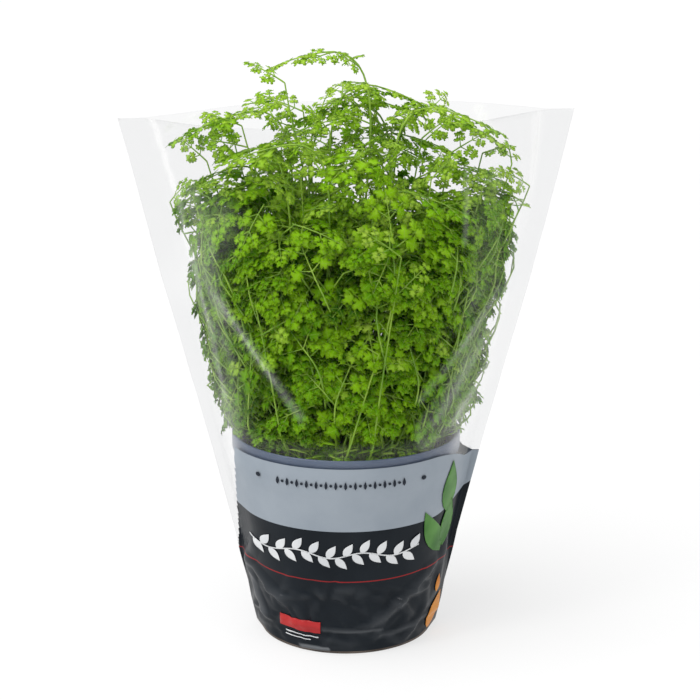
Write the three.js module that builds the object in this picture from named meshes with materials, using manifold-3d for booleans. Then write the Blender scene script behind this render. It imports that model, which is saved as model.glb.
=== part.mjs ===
// A pot of chervil in its flared film sleeve, as herbs are sold for the kitchen window sill.
// Millimetres, +Z up. The origin is on the pot's axis, on the surface that the sleeve's foot stands on.
// The front of the sleeve looks along -Y and its two side creases lie at +X and -X.
import * as THREE from 'three';
import { mergeVertices } from 'three/addons/utils/BufferGeometryUtils.js';
import Module from 'manifold-3d';

const wasm = await Module();
wasm.setup();

// ---------------------------------------------------------------- driving dimensions
const SEAT_GAP = 0.3; // left between pieces that touch
const FILM = 0.6; // wall of the sleeve

const POT_FOOT = FILM + SEAT_GAP; // the pot stands on the sleeve's floor
const POT_TOP = POT_FOOT + 108;
const RIM_RADIUS = 60;
const COLLAR_HEIGHT = 9.5;
const POT_WALL = 1.2;
const WALL_FOOT_RADIUS = 44.2;
const WALL_TOP_RADIUS = 55.8;
const FOOT_RING_WIDTH = 6;
const FOOT_RING_HEIGHT = 2;
const POT_SIDES = 36;
const DRAIN_HOLES = 6;
const DRAIN_RADIUS = 4;
const DRAIN_CIRCLE = 27;

const SOIL_TOP = 97.5;
const SOIL_SIDES = 32;
const SOIL_LUMP = 1.1; // how far the peat's lumps rise and fall

const PLANTS = 28; // seedlings, two fronds each
const TOP_PLANTS = 11; // those in the middle of the pot, whose fronds make the top of the canopy
const ROOT_DEPTH = 9;
const ROOT_CIRCLE = 45; // the outermost seedling's distance from the axis
const NECK_RADIUS = 1.15; // the root neck that a plant's two stalks share
const NECK_TOP = SOIL_TOP + 4;
const PARTING_HEIGHT = SOIL_TOP + 2;
const HOLE_RADIUS = 1.6;
const STALK_RADIUS = 0.95;
const STALK_STEPS = 6;
const GENTLE_BEND = Math.cos(52 * Math.PI / 180); // most that a stalk's step turns off its curve
const BLADE = 0.6; // thickness of a frond's blade
const FROND_LENGTH = 46;
const RIB_DROOP = 0.16; // how far a blade's tip arches down, as a share of its length
const SIDE_DROOP = 0.35;
const CANOPY_FOOT = 126; // height of the lowest fronds' middles
const CANOPY_SHOULDER = 236; // where the side of the canopy turns into its top
const CANOPY_CROWN = 272;
const SECOND_TIER = 24; // how far the top plants' second fronds stand below their first
const LEAF_TO_FILM = 1.2;
const LEAF_TO_LEAF = 0.5;
const TRIES = 900; // places that a frond may try before it is left out

// The sleeve's rings, from the floor to the mouth.
// edge: half width out to the crease; parting: where the two sheets part; wide and deep: the round part's
// half axes; pleat: how far the crumpled foot's folds stand out.
const SLEEVE_RINGS = [
  { height: 0, edge: 48.5, parting: 47.4, wide: 45.8, deep: 45.8, pleat: 0 },
  { height: 13, edge: 52, parting: 50.4, wide: 47.6, deep: 47.6, pleat: 1.6 },
  { height: 52, edge: 59.5, parting: 57, wide: 52.6, deep: 52.6, pleat: 1.8 },
  { height: 97, edge: 70.5, parting: 66.8, wide: 61.2, deep: 61.2, pleat: 0 },
  { height: 110, edge: 74, parting: 70.4, wide: 61.8, deep: 61.4, pleat: 0 },
  { height: 150, edge: 84.5, parting: 79.5, wide: 68, deep: 63.5, pleat: 0 },
  { height: 190, edge: 95.2, parting: 89.5, wide: 75, deep: 66.5, pleat: 0 },
  { height: 235, edge: 106, parting: 99, wide: 81, deep: 69, pleat: 0 },
  { height: 273.5, edge: 115, parting: 103, wide: 85, deep: 70, pleat: 0 },
];
const MOUTH_TILT = 0.022; // the mouth stands a little higher on the right
const SHEET_STEPS = 14; // facets across each sheet's round part

const GOLDEN_ANGLE = Math.PI * (3 - Math.sqrt(5));
const DEGREE = Math.PI / 180;
const UP = new THREE.Vector3(0, 0, 1);

// ---------------------------------------------------------------- helpers
// Park and Miller's generator uses whole numbers only, so a seed gives the same plant everywhere.
function seededDraws(seed) {
  let state = seed;
  const next = () => (state = (state * 48271) % 2147483647) / 2147483647;
  next();
  next();
  return (low, high) => low + (high - low) * next();
}

function toSolid(geometry) {
  geometry.deleteAttribute('normal');
  geometry.deleteAttribute('uv');
  const merged = mergeVertices(geometry, 1e-4);
  return new wasm.Manifold(new wasm.Mesh({
    numProp: 3,
    vertProperties: new Float32Array(merged.attributes.position.array),
    triVerts: new Uint32Array(merged.index.array),
  }));
}

function toMesh(solid, name, material) {
  const { vertProperties, triVerts } = solid.getMesh();
  const geometry = new THREE.BufferGeometry();
  geometry.setAttribute('position', new THREE.BufferAttribute(vertProperties, 3));
  geometry.setIndex(new THREE.BufferAttribute(triVerts, 1));
  geometry.computeVertexNormals();
  const mesh = new THREE.Mesh(geometry, material);
  mesh.name = name;
  return mesh;
}

function turned(profile, sides) {
  const points = profile.map(([radius, height]) => new THREE.Vector2(radius, height));
  const geometry = new THREE.LatheGeometry(points, sides);
  geometry.rotateX(Math.PI / 2);
  return geometry;
}

function upright(radius, low, high, sides) {
  const geometry = new THREE.CylinderGeometry(radius, radius, high - low, sides);
  geometry.rotateX(Math.PI / 2);
  geometry.translate(0, 0, (low + high) / 2);
  return geometry;
}

// ---------------------------------------------------------------- pot
const COLLAR_FOOT = POT_TOP - COLLAR_HEIGHT;
const BASE_TOP = POT_FOOT + FOOT_RING_HEIGHT + POT_WALL;

function potSolid() {
  const ringInside = WALL_FOOT_RADIUS - FOOT_RING_WIDTH;
  let pot = toSolid(turned([
    [0, POT_FOOT + FOOT_RING_HEIGHT],
    [ringInside - 1, POT_FOOT + FOOT_RING_HEIGHT],
    [ringInside, POT_FOOT],
    [WALL_FOOT_RADIUS - 1, POT_FOOT],
    [WALL_FOOT_RADIUS, POT_FOOT + 1],
    [WALL_TOP_RADIUS, COLLAR_FOOT - 0.6],
    [RIM_RADIUS - 0.6, COLLAR_FOOT],
    [RIM_RADIUS, COLLAR_FOOT + 0.8],
    [RIM_RADIUS, POT_TOP - 0.8],
    [RIM_RADIUS - 0.5, POT_TOP],
    [RIM_RADIUS - POT_WALL, POT_TOP],
    [RIM_RADIUS - POT_WALL - 0.3, POT_TOP - 0.7],
    [RIM_RADIUS - POT_WALL - 0.3, COLLAR_FOOT + 1.6],
    [WALL_TOP_RADIUS - POT_WALL, COLLAR_FOOT + 0.6],
    [WALL_FOOT_RADIUS - POT_WALL, BASE_TOP],
    [0, BASE_TOP],
  ], POT_SIDES));
  for (let hole = 0; hole < DRAIN_HOLES; hole++) {
    const turn = (hole / DRAIN_HOLES) * 2 * Math.PI;
    const drill = upright(DRAIN_RADIUS, 0, BASE_TOP + 1, 8);
    drill.translate(DRAIN_CIRCLE * Math.cos(turn), DRAIN_CIRCLE * Math.sin(turn), 0);
    pot = pot.subtract(toSolid(drill));
  }
  return pot;
}

// ---------------------------------------------------------------- root places and soil
function rootPlace(plant) {
  const radius = ROOT_CIRCLE * Math.sqrt((plant + 0.5) / PLANTS);
  const turn = plant * GOLDEN_ANGLE;
  return new THREE.Vector3(radius * Math.cos(turn), radius * Math.sin(turn), SOIL_TOP - ROOT_DEPTH);
}

function soilLump(x, y) {
  const broad = Math.sin(0.31 * x + 0.4) * Math.cos(0.27 * y - 0.9);
  return SOIL_LUMP * (broad + 0.5 * Math.sin(0.7 * (x + y)));
}

function soilSolid() {
  const foot = BASE_TOP + SEAT_GAP;
  const wallRun = (SOIL_TOP - BASE_TOP) / (COLLAR_FOOT - BASE_TOP);
  const spread = WALL_TOP_RADIUS - WALL_FOOT_RADIUS;
  const edge = WALL_FOOT_RADIUS - POT_WALL + wallRun * spread - SEAT_GAP - 0.4;
  const geometry = turned([
    [0, foot],
    [WALL_FOOT_RADIUS - POT_WALL - 0.7, foot],
    [edge, SOIL_TOP - 1.5],
    [0.87 * edge, SOIL_TOP],
    [0.62 * edge, SOIL_TOP],
    [0.36 * edge, SOIL_TOP],
    [0, SOIL_TOP],
  ], SOIL_SIDES);
  const spot = geometry.attributes.position;
  for (let i = 0; i < spot.count; i++) {
    if (spot.getZ(i) > SOIL_TOP - 1) spot.setZ(i, spot.getZ(i) + soilLump(spot.getX(i), spot.getY(i)));
  }
  let soil = toSolid(geometry);
  for (let plant = 0; plant < PLANTS; plant++) {
    const root = rootPlace(plant);
    const hole = upright(HOLE_RADIUS, root.z - SEAT_GAP, SOIL_TOP + 9, 5);
    hole.translate(root.x, root.y, 0);
    soil = soil.subtract(toSolid(hole));
  }
  return soil;
}

// ---------------------------------------------------------------- sleeve
// The ring at any height, between the two that are listed.
function ringAt(height) {
  const above = SLEEVE_RINGS.findIndex((ring) => ring.height >= height);
  if (above === 0) return SLEEVE_RINGS[0];
  if (above < 0) return SLEEVE_RINGS[SLEEVE_RINGS.length - 1];
  const [low, high] = [SLEEVE_RINGS[above - 1], SLEEVE_RINGS[above]];
  const share = (height - low.height) / (high.height - low.height);
  const ring = {};
  for (const key of Object.keys(low)) ring[key] = low[key] + share * (high[key] - low[key]);
  return ring;
}

// A sheet leaves the round part along its tangent and runs straight to the parting: the angle where it leaves.
function tangentAngle(ring) {
  return Math.acos(ring.wide / ring.parting);
}

// How far the inside of the film is from the axis, in one direction at one height.
function reach(azimuth, height) {
  const ring = ringAt(height);
  const leave = tangentAngle(ring);
  const [touchX, touchY] = [ring.wide * Math.cos(leave), ring.deep * Math.sin(leave)];
  const slant = Math.atan2(touchY, ring.parting - touchX);
  const side = Math.atan2(Math.abs(Math.sin(azimuth)), Math.abs(Math.cos(azimuth)));
  const round = 1 / Math.hypot(Math.cos(side) / ring.wide, Math.sin(side) / ring.deep);
  if (side >= Math.atan2(touchY, touchX)) return round - FILM;
  return ring.parting * Math.sin(slant) / Math.sin(slant + side) - FILM;
}

// One sheet's points from the right parting to the left one, with the pleats of the crumpled foot.
function sheetPoints(ring, inset, pleats) {
  const leave = tangentAngle(ring);
  const points = [];
  for (let step = 0; step <= SHEET_STEPS; step++) {
    const turn = leave + (step / SHEET_STEPS) * (Math.PI - 2 * leave);
    const stand = ring.pleat * pleats[step] - inset;
    points.push([(ring.wide + stand) * Math.cos(turn), (ring.deep + stand) * Math.sin(turn)]);
  }
  return points;
}

function pleatHeights(seed) {
  const draw = seededDraws(seed);
  return Array.from({ length: SHEET_STEPS + 1 }, (_, step) => (step % 2 ? draw(0.7, 1.5) : draw(0, 0.3)));
}
const BACK_PLEATS = pleatHeights(11);
const FRONT_PLEATS = pleatHeights(29);

function outerOutline(ring) {
  const back = sheetPoints(ring, 0, BACK_PLEATS);
  const front = sheetPoints(ring, 0, FRONT_PLEATS).map(([x, y]) => [-x, -y]);
  return [
    [ring.edge, -FILM], [ring.edge, FILM], [ring.parting, FILM], ...back, [-ring.parting, FILM],
    [-ring.edge, FILM], [-ring.edge, -FILM], [-ring.parting, -FILM], ...front, [ring.parting, -FILM],
  ];
}

function innerOutline(ring) {
  const back = sheetPoints(ring, FILM, BACK_PLEATS);
  const front = sheetPoints(ring, FILM, FRONT_PLEATS).map(([x, y]) => [-x, -y]);
  const end = ring.parting - 2 * FILM;
  return [[end, 0], ...back, [-end, 0], ...front];
}

// A closed skin through one outline for each ring: a drum whose rows and columns are moved to their places.
function skin(rings, outlineOf) {
  const outlines = rings.map(outlineOf);
  const sides = outlines[0].length;
  const rows = rings.length - 1;
  const drum = new THREE.CylinderGeometry(1, 1, 1, sides, rows);
  const spot = drum.attributes.position;
  for (let i = 0; i < spot.count; i++) {
    const row = Math.round((spot.getY(i) + 0.5) * rows);
    const turn = Math.atan2(spot.getX(i), spot.getZ(i)) / (2 * Math.PI);
    const onAxis = Math.hypot(spot.getX(i), spot.getZ(i)) < 0.5;
    const [x, y] = onAxis ? [0, 0] : outlines[row][(Math.round(turn * sides) + sides) % sides];
    const tilt = rings[row].height > SLEEVE_RINGS.at(-2).height ? MOUTH_TILT * x : 0;
    spot.setXYZ(i, x, y, rings[row].height + tilt);
  }
  return toSolid(drum);
}

function sleeveSolid() {
  const mouth = SLEEVE_RINGS.at(-1);
  const floor = { ...ringAt(FILM), height: FILM };
  const aboveMouth = { ...mouth, height: mouth.height + 6 };
  const hollow = [floor, ...SLEEVE_RINGS.slice(1), aboveMouth];
  return skin(SLEEVE_RINGS, outerOutline).subtract(skin(hollow, innerOutline));
}

// ---------------------------------------------------------------- fronds
// A fan of three lobes: its tips and the cuts between them, from one side round to the other.
function fan(centreAlong, centreAside, heading, size) {
  const points = [];
  for (const [turn, share] of [[62, 1], [31, 0.58], [0, 1.08], [-31, 0.58], [-62, 1]]) {
    const angle = (heading + turn) * DEGREE;
    points.push([centreAlong + share * size * Math.cos(angle), centreAside + share * size * Math.sin(angle)]);
  }
  return points;
}

// The blade's outline for a frond one unit long, along +X: two pairs of fans and one at the tip, cut to the rib.
function bladeOutline() {
  const rib = 0.018;
  const half = [
    [-0.03, rib],
    [0.15, rib],
    ...fan(0.34, 0.27, 62, 0.17),
    [0.41, rib],
    ...fan(0.65, 0.155, 50, 0.14),
    [0.7, rib],
  ];
  const mirrored = half.map(([x, y]) => [x, -y]).reverse();
  return [...half, ...fan(0.8, 0, 0, 0.2), ...mirrored];
}
const OUTLINE = bladeOutline();

// Where one frond grows: everything about it follows from its plant, its place on the plant and the try.
function frondForm(plant, place, attempt) {
  const draw = seededDraws(1 + plant * 7919 + place * 104729 + attempt * 1299709);
  const slack = attempt / TRIES;
  const onTop = plant < TOP_PLANTS;
  const topRank = (2 * plant + place + 0.5) / (2 * TOP_PLANTS);
  const sideRank = ((plant - TOP_PLANTS) * 0.618 + place * 0.5) % 1;
  const share = onTop ? 0.85 * Math.sqrt(1 - topRank) + draw(-0.08, 0.08) : draw(0.76 - 0.3 * slack, 0.94);
  const side = CANOPY_FOOT + sideRank * (CANOPY_SHOULDER - CANOPY_FOOT);
  const dome = (CANOPY_CROWN - CANOPY_SHOULDER) * Math.sqrt(1 - share * share);
  const top = CANOPY_SHOULDER + dome - SECOND_TIER * place;
  const height = (onTop ? top : side) + draw(-6, 6) * (1 + 9 * slack);
  // Directions crowd towards the creases, as the mouth is wider than it is deep.
  const turn = plant * GOLDEN_ANGLE + (place ? 1 : -1) * draw(4, 40 + 120 * slack) * DEGREE;
  const { deep, parting } = ringAt(height);
  const azimuth = Math.atan2(deep * Math.sin(turn), parting * Math.cos(turn));
  const distance = Math.abs(share) * reach(azimuth, height);
  const middle = new THREE.Vector3(distance * Math.cos(azimuth), distance * Math.sin(azimuth), height);

  // A frond either lies up along the film or arches over outward, face up.
  const arching = onTop || draw(0, 1) < 0.45;
  const lift = (arching ? draw(42, onTop ? 82 : 66) : draw(-4, 14)) * DEGREE;
  const lean = draw(-58, 58) * DEGREE + (arching ? Math.PI : 0);
  const face = new THREE.Vector3(Math.cos(azimuth), Math.sin(azimuth), 0).multiplyScalar(Math.cos(lift));
  face.addScaledVector(UP, Math.sin(lift));
  const uphill = UP.clone().addScaledVector(face, -UP.dot(face)).normalize();
  const rib = uphill.applyAxisAngle(face, lean);
  const length = FROND_LENGTH * draw(0.88, 1.08) * (1 - 0.3 * slack);
  const start = rootPlace(plant).setZ(PARTING_HEIGHT);
  const outward = middle.clone().sub(start).setZ(0).normalize();
  const sprout = UP.clone().addScaledVector(outward, draw(0.3, 0.5));
  return { start, sprout: sprout.normalize(), middle, face, rib, length };
}

function stalkCurve({ start, sprout, middle, rib, length }) {
  const bladeFoot = middle.clone().addScaledVector(rib, -0.5 * length);
  const rise = bladeFoot.z - start.z;
  const lower = start.clone().addScaledVector(sprout, 0.45 * rise);
  const upper = bladeFoot.clone().addScaledVector(rib, -0.26 * rise);
  const end = bladeFoot.clone().addScaledVector(rib, 0.05 * length);
  return new THREE.CubicBezierCurve3(start, lower, upper, end);
}

function stalkGeometry(form, radius) {
  const corners = [0, 1, 2].map((i) => new THREE.Vector2(
    radius * Math.cos(i * 120 * DEGREE),
    radius * Math.sin(i * 120 * DEGREE),
  ));
  const section = new THREE.Shape(corners);
  return new THREE.ExtrudeGeometry(section, {
    steps: STALK_STEPS, bevelEnabled: false, extrudePath: stalkCurve(form),
  });
}

// The thin blade, flat at first, then arched along and across its rib and set on its stalk.
function bladeGeometry({ middle, face, rib, length }, thickness) {
  const shape = new THREE.Shape(OUTLINE.map(([x, y]) => new THREE.Vector2(x * length, y * length)));
  const geometry = new THREE.ExtrudeGeometry(shape, { depth: thickness, bevelEnabled: false, steps: 1 });
  const spot = geometry.attributes.position;
  for (let i = 0; i < spot.count; i++) {
    const [along, aside] = [spot.getX(i) / length, spot.getY(i) / length];
    const droop = RIB_DROOP * along * along + SIDE_DROOP * aside * aside;
    spot.setZ(i, spot.getZ(i) - thickness / 2 - length * droop);
  }
  const across = face.clone().cross(rib);
  const place = new THREE.Matrix4().makeBasis(rib, across, face);
  place.setPosition(middle.clone().addScaledVector(rib, -0.5 * length));
  return geometry.applyMatrix4(place);
}

function frondSolid(form, spare) {
  const stalk = toSolid(stalkGeometry(form, STALK_RADIUS + spare));
  return stalk.add(toSolid(bladeGeometry(form, BLADE + 2 * spare)));
}

// Whether the stalk bends gently enough for its few straight steps.
function bendsGently(form) {
  const curve = stalkCurve(form);
  const points = curve.getSpacedPoints(STALK_STEPS);
  return points.slice(1).every((point, step) => {
    const run = point.clone().sub(points[step]).normalize();
    const before = curve.getTangentAt(step / STALK_STEPS);
    const after = curve.getTangentAt((step + 1) / STALK_STEPS);
    return Math.min(run.dot(before), run.dot(after)) > GENTLE_BEND;
  });
}

// Whether a frond keeps inside the film, over the pot's rim and off the soil.
function fits(form) {
  const spot = bladeGeometry(form, BLADE).attributes.position;
  const path = stalkCurve(form).getPoints(8).slice(2);
  const corners = Array.from({ length: spot.count }, (_, i) => (
    new THREE.Vector3().fromBufferAttribute(spot, i)
  ));
  return [...corners, ...path].every((point) => {
    const distance = Math.hypot(point.x, point.y);
    if (distance > reach(Math.atan2(point.y, point.x), point.z) - LEAF_TO_FILM) return false;
    if (point.z < POT_TOP + 1 && distance > RIM_RADIUS - POT_WALL - 2) return false;
    return point.z > SOIL_TOP + 3 || distance < ROOT_CIRCLE + 2;
  });
}

function boxOf(solid) {
  const { min, max } = solid.boundingBox();
  return new THREE.Box3(new THREE.Vector3(...min), new THREE.Vector3(...max));
}

// The first try at which a frond keeps its place and stands clear of what stands already.
function clearForm(plant, place, standing) {
  for (let attempt = 0; attempt < TRIES; attempt++) {
    const form = frondForm(plant, place, attempt);
    if (!bendsGently(form) || !fits(form)) continue;
    const spare = frondSolid(form, LEAF_TO_LEAF);
    const box = boxOf(spare);
    const near = standing.filter((other) => other.box.intersectsBox(box));
    if (near.every((other) => spare.intersect(other.solid).isEmpty())) return form;
  }
  return null;
}

function neckSolid(plant) {
  const { x, y, z } = rootPlace(plant);
  const neck = upright(NECK_RADIUS, z, NECK_TOP, 5);
  neck.translate(x, y, 0);
  return toSolid(neck);
}

function plantSolids() {
  const plants = [];
  const standing = [];
  for (let plant = 0; plant < PLANTS; plant++) {
    const forms = [0, 1].map((place) => clearForm(plant, place, standing)).filter(Boolean);
    const fronds = forms.map((form) => frondSolid(form, 0));
    plants.push(fronds.reduce((all, frond) => all.add(frond), neckSolid(plant)));
    standing.push(...fronds.map((solid) => ({ solid, box: boxOf(solid) })));
  }
  return plants;
}

// ---------------------------------------------------------------- the whole
const group = new THREE.Group();
const plastic = new THREE.MeshStandardMaterial({ color: 0x5f6f8c, roughness: 0.45, metalness: 0 });
const peat = new THREE.MeshStandardMaterial({ color: 0x2c211a, roughness: 1, metalness: 0 });
const film = new THREE.MeshStandardMaterial({ color: 0xdfe4e8, roughness: 0.15, metalness: 0 });
const leaf = new THREE.MeshStandardMaterial({ color: 0x5f9a2c, roughness: 0.6, metalness: 0 });

group.add(toMesh(potSolid(), 'pot', plastic));
group.add(toMesh(soilSolid(), 'soil', peat));
group.add(toMesh(sleeveSolid(), 'sleeve', film));
plantSolids().forEach((solid, plant) => {
  group.add(toMesh(solid, `chervil_plant_${String(plant + 1).padStart(2, '0')}`, leaf));
});

export default group;
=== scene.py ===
# %% [markdown]
# # A pot of chervil in its flared film sleeve
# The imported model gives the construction: a pot, its peat, a sleeve and 28 seedlings with two fronds each.
# Here each of them gets its real surface. The fronds are cut into leaflets, more fronds fill the plant out,
# the film becomes thin, creased and printed, and the pot and peat get their plastic and their crumbs.
# Lengths are in millimetres while a piece is being shaped, and the last step of every piece brings it down
# to Blender's metres.

# %% Load the frame
from math import acos, atan2, ceil, cos, hypot, pi, radians, sin, sqrt

import bmesh
import bpy
from mathutils import Matrix, Quaternion, Vector, noise
from mathutils.bvhtree import BVHTree
from mathutils.kdtree import KDTree


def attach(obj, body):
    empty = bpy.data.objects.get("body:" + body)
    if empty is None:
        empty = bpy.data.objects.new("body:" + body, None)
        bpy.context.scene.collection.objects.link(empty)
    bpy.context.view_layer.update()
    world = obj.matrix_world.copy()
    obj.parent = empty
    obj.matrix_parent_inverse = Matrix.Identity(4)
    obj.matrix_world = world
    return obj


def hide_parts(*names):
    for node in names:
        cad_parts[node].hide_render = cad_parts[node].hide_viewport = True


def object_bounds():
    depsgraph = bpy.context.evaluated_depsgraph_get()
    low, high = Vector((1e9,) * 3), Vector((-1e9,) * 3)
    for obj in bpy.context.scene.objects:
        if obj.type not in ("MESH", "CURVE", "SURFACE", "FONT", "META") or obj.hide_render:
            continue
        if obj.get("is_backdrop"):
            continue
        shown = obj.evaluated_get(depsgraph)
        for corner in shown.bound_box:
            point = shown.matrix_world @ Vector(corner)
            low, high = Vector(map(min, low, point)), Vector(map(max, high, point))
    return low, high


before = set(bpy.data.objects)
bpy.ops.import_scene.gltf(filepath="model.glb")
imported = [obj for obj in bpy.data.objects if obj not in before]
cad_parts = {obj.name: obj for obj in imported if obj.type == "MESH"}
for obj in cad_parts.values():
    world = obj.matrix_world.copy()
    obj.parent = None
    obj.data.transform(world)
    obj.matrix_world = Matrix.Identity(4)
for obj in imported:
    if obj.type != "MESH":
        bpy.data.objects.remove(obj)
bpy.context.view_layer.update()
MM = 0.001
UP = Vector((0, 0, 1))
WHITE = (1, 1, 1, 1)
scene = bpy.context.scene

# %% [markdown]
# ## Small tools
# A few short functions do what comes up again and again: a new object or mesh, a point at a distance from
# the pot's axis, a direction, and seeded draws, which give the same plant on every run.

# %% Helpers for objects, meshes and places
def new_object(name, data):
    """An object that is linked to the scene."""
    made = bpy.data.objects.new(name, data)
    scene.collection.objects.link(made)
    return made


def new_mesh(name, bm):
    """Writes a bmesh to a mesh and frees it."""
    mesh = bpy.data.meshes.new(name)
    bm.to_mesh(mesh)
    bm.free()
    return mesh


def around(radius, turn, height):
    """The point at a distance from the pot's axis, in one direction and at one height."""
    return Vector((radius * cos(turn), radius * sin(turn), height))


def direction(azimuth, climb):
    """The unit vector that points one way round the axis and climbs by an angle."""
    return Vector((cos(azimuth) * cos(climb), sin(azimuth) * cos(climb), sin(climb)))


def level(vector):
    """The level unit vector that runs the same way as another one."""
    return Vector((*vector.xy, 0)).normalized()


def held(value):
    """A number held between 0 and 1."""
    return min(max(value, 0.0), 1.0)


def between_rows(rows, place):
    """The other numbers of rows sorted by their first one, at a place between two rows."""
    place = min(max(place, rows[0][0]), rows[-1][0])
    for low, high in zip(rows, rows[1:]):
        if place <= high[0]:
            share = (place - low[0]) / (high[0] - low[0])
            return [a + share * (b - a) for a, b in zip(low[1:], high[1:])]


def seeded_draws(seed):
    """Park and Miller's generator: draw(low, high) gives the same numbers for a seed everywhere."""
    state = seed

    def following():
        nonlocal state
        state = state * 48271 % 2147483647
        return state / 2147483647

    following()
    following()
    return lambda low, high: low + (high - low) * following()


# %% [markdown]
# ## The camera, the floor and the light
# The plant stands on a seamless white table, seen a little from above through a long lens, as catalogues
# show it. A wide floor under a white world gives the seamless ground. A high, broad sun gives most of the
# light and a pale shadow, and two small soft lamps, the stronger one at the left, model the leaves. The
# view transform is Standard, so white stays white. Each material is a Look, which is built up node by node.

# %% Camera
CAMERA_PLACE = (2.1, -850, 362.8)
CAMERA_PITCH = radians(14.02)  # below the horizon
FOCAL_LENGTH = 86.4
SENSOR_WIDTH = 36

camera = new_object("camera", bpy.data.cameras.new("camera"))
camera.data.lens = FOCAL_LENGTH
camera.data.sensor_width = SENSOR_WIDTH
camera.data.clip_end = 100  # metres, well past the floor
camera.location = Vector(CAMERA_PLACE) * MM
camera.rotation_euler = (pi / 2 - CAMERA_PITCH, 0, 0)
scene.camera = camera
print("camera", CAMERA_PLACE, "mm, lens", FOCAL_LENGTH, "mm")


# %% Materials, node by node
class Look:
    """A material. Each method but show adds nodes and gives back an output socket."""

    def __init__(self, name):
        self.material = bpy.data.materials.new(name)
        self.material.use_nodes = True
        self.tree = self.material.node_tree
        self.tree.nodes.clear()
        self.tree.nodes.new("ShaderNodeOutputMaterial")

    def show(self, shader):
        self.tree.links.new(shader, self.tree.nodes["Material Output"].inputs["Surface"])

    def node(self, kind, out=0, settings=None, **inputs):
        """Inputs go by name, or by number as in _0. A socket is linked to its input, and a number is set."""
        node = self.tree.nodes.new("ShaderNode" + kind)
        for key, value in (settings or {}).items():
            setattr(node, key, value)
        for key, value in inputs.items():
            socket = node.inputs[int(key[1:]) if key[1:].isdigit() else key.replace("_", " ")]
            if isinstance(value, bpy.types.NodeSocket):
                self.tree.links.new(value, socket)
            else:
                socket.default_value = value
        return node.outputs[out]

    def ramp(self, factor, *stops):
        """A colour ramp through (place, colour) stops."""
        colours = self.node("ValToRGB", "Color", Fac=factor)
        elements = colours.node.color_ramp.elements
        while len(elements) < len(stops):
            elements.new(0.5)
        for element, (place, colour) in zip(elements, stops):
            element.position = place
            element.color = (*colour, 1)
        return colours

    def noise(self, scale, detail=2.0, stretch=(1, 1, 1)):
        """Noise on Object coordinates, with its number of lumps a metre."""
        place = self.node("Mapping", "Vector", Vector=self.node("TexCoord", "Object"), Scale=stretch)
        return self.node("TexNoise", "Fac", Vector=place, Scale=scale, Detail=detail)

    def bump(self, height, strength, distance):
        """Bump from a height between 0 and 1, with its depth in metres."""
        return self.node("Bump", "Normal", Height=height, Strength=strength, Distance=distance)

    def attribute(self, name):
        return self.node("Attribute", "Fac", {"attribute_name": name})

    def calculate(self, operation, *values):
        inputs = {f"_{i}": value for i, value in enumerate(values)}
        return self.node("Math", settings={"operation": operation}, **inputs)

    def rescale(self, value, low, high, new_low=0.0, new_high=1.0):
        """Brings one range of numbers to another and holds them in it."""
        return self.node(
            "MapRange", Value=value, From_Min=low, From_Max=high, To_Min=new_low, To_Max=new_high)

    def blend(self, share, colour, other):
        return self.node("Mix", 2, {"data_type": "RGBA"}, _0=share, _6=colour, _7=(*other, 1))

    def mix(self, share, shader, other):
        return self.node("MixShader", _0=share, _1=shader, _2=other)

    def surface(self, colour, roughness, **inputs):
        return self.node("BsdfPrincipled", Base_Color=colour, Roughness=roughness, **inputs)


# %% Floor and world
FLOOR_RADIUS = 14  # metres
TABLE_GLOW = 0.655  # a light table, so the shadow stays pale
WORLD_STRENGTH = 0.63

bm = bmesh.new()
bmesh.ops.create_circle(bm, cap_ends=True, segments=96, radius=FLOOR_RADIUS)
floor = new_object("floor", new_mesh("floor", bm))
floor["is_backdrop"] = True

table = Look("white table")
table_colour = table.ramp(table.noise(3.0), (0.0, (0.265, 0.265, 0.266)), (1.0, (0.28, 0.28, 0.28)))
table.show(table.surface(table_colour, 0.7, Emission_Color=WHITE, Emission_Strength=TABLE_GLOW))
floor.data.materials.append(table.material)

world = bpy.data.worlds.new("white room")
world.use_nodes = True
background = world.node_tree.nodes["Background"].inputs
background["Color"].default_value = WHITE
background["Strength"].default_value = WORLD_STRENGTH
scene.world = world
scene.view_settings.view_transform = "Standard"
scene.cycles.transparent_max_bounces = 40
print("floor radius", FLOOR_RADIUS, "m")


# %% Lamps
def add_lamp(name, kind, power, place, aim, **settings):
    """A lamp at a place in metres that shines towards a point."""
    light = bpy.data.lights.new(name, kind)
    light.energy = power
    for key, value in settings.items():
        setattr(light, key, value)
    lamp = new_object(name, light)
    lamp.location = place
    lamp.rotation_euler = (Vector(aim) - Vector(place)).to_track_quat("-Z", "Y").to_euler()


MIDDLE = (0, 0, 0.17)  # of the plant, in metres
add_lamp("left softbox", "AREA", 4, (-0.9, -0.7, 1.0), MIDDLE, shape="SQUARE", size=0.28)
add_lamp("right strip", "AREA", 1.5, (1.1, -0.8, 0.5), MIDDLE, shape="SQUARE", size=0.2)
add_lamp("high soft sun", "SUN", 1.9, (-0.45, -0.25, 1.3), (0, 0, 0), angle=radians(42))
print("lamps:", len(bpy.data.lights))


# %% [markdown]
# ## From millimetres to a piece
# Every piece ends the same way: its bmesh is written to a mesh, scaled to metres about the origin, given
# its materials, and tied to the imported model's one body. Its object stays at the origin, unturned.

# %% Finish a piece
def finish_piece(bm, name, looks, nodes=()):
    """Makes a bmesh in millimetres a piece in metres, which rides on the body and may replace CAD nodes."""
    bmesh.ops.scale(bm, vec=(MM, MM, MM), verts=bm.verts)
    for face in bm.faces:
        face.smooth = True
    piece = new_object(name, new_mesh(name, bm))
    for look in looks:
        piece.data.materials.append(look.material)
    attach(piece, "root")
    if nodes:
        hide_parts(*nodes)
    print(f"{name}: {len(piece.data.polygons)} faces")
    return piece


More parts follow.
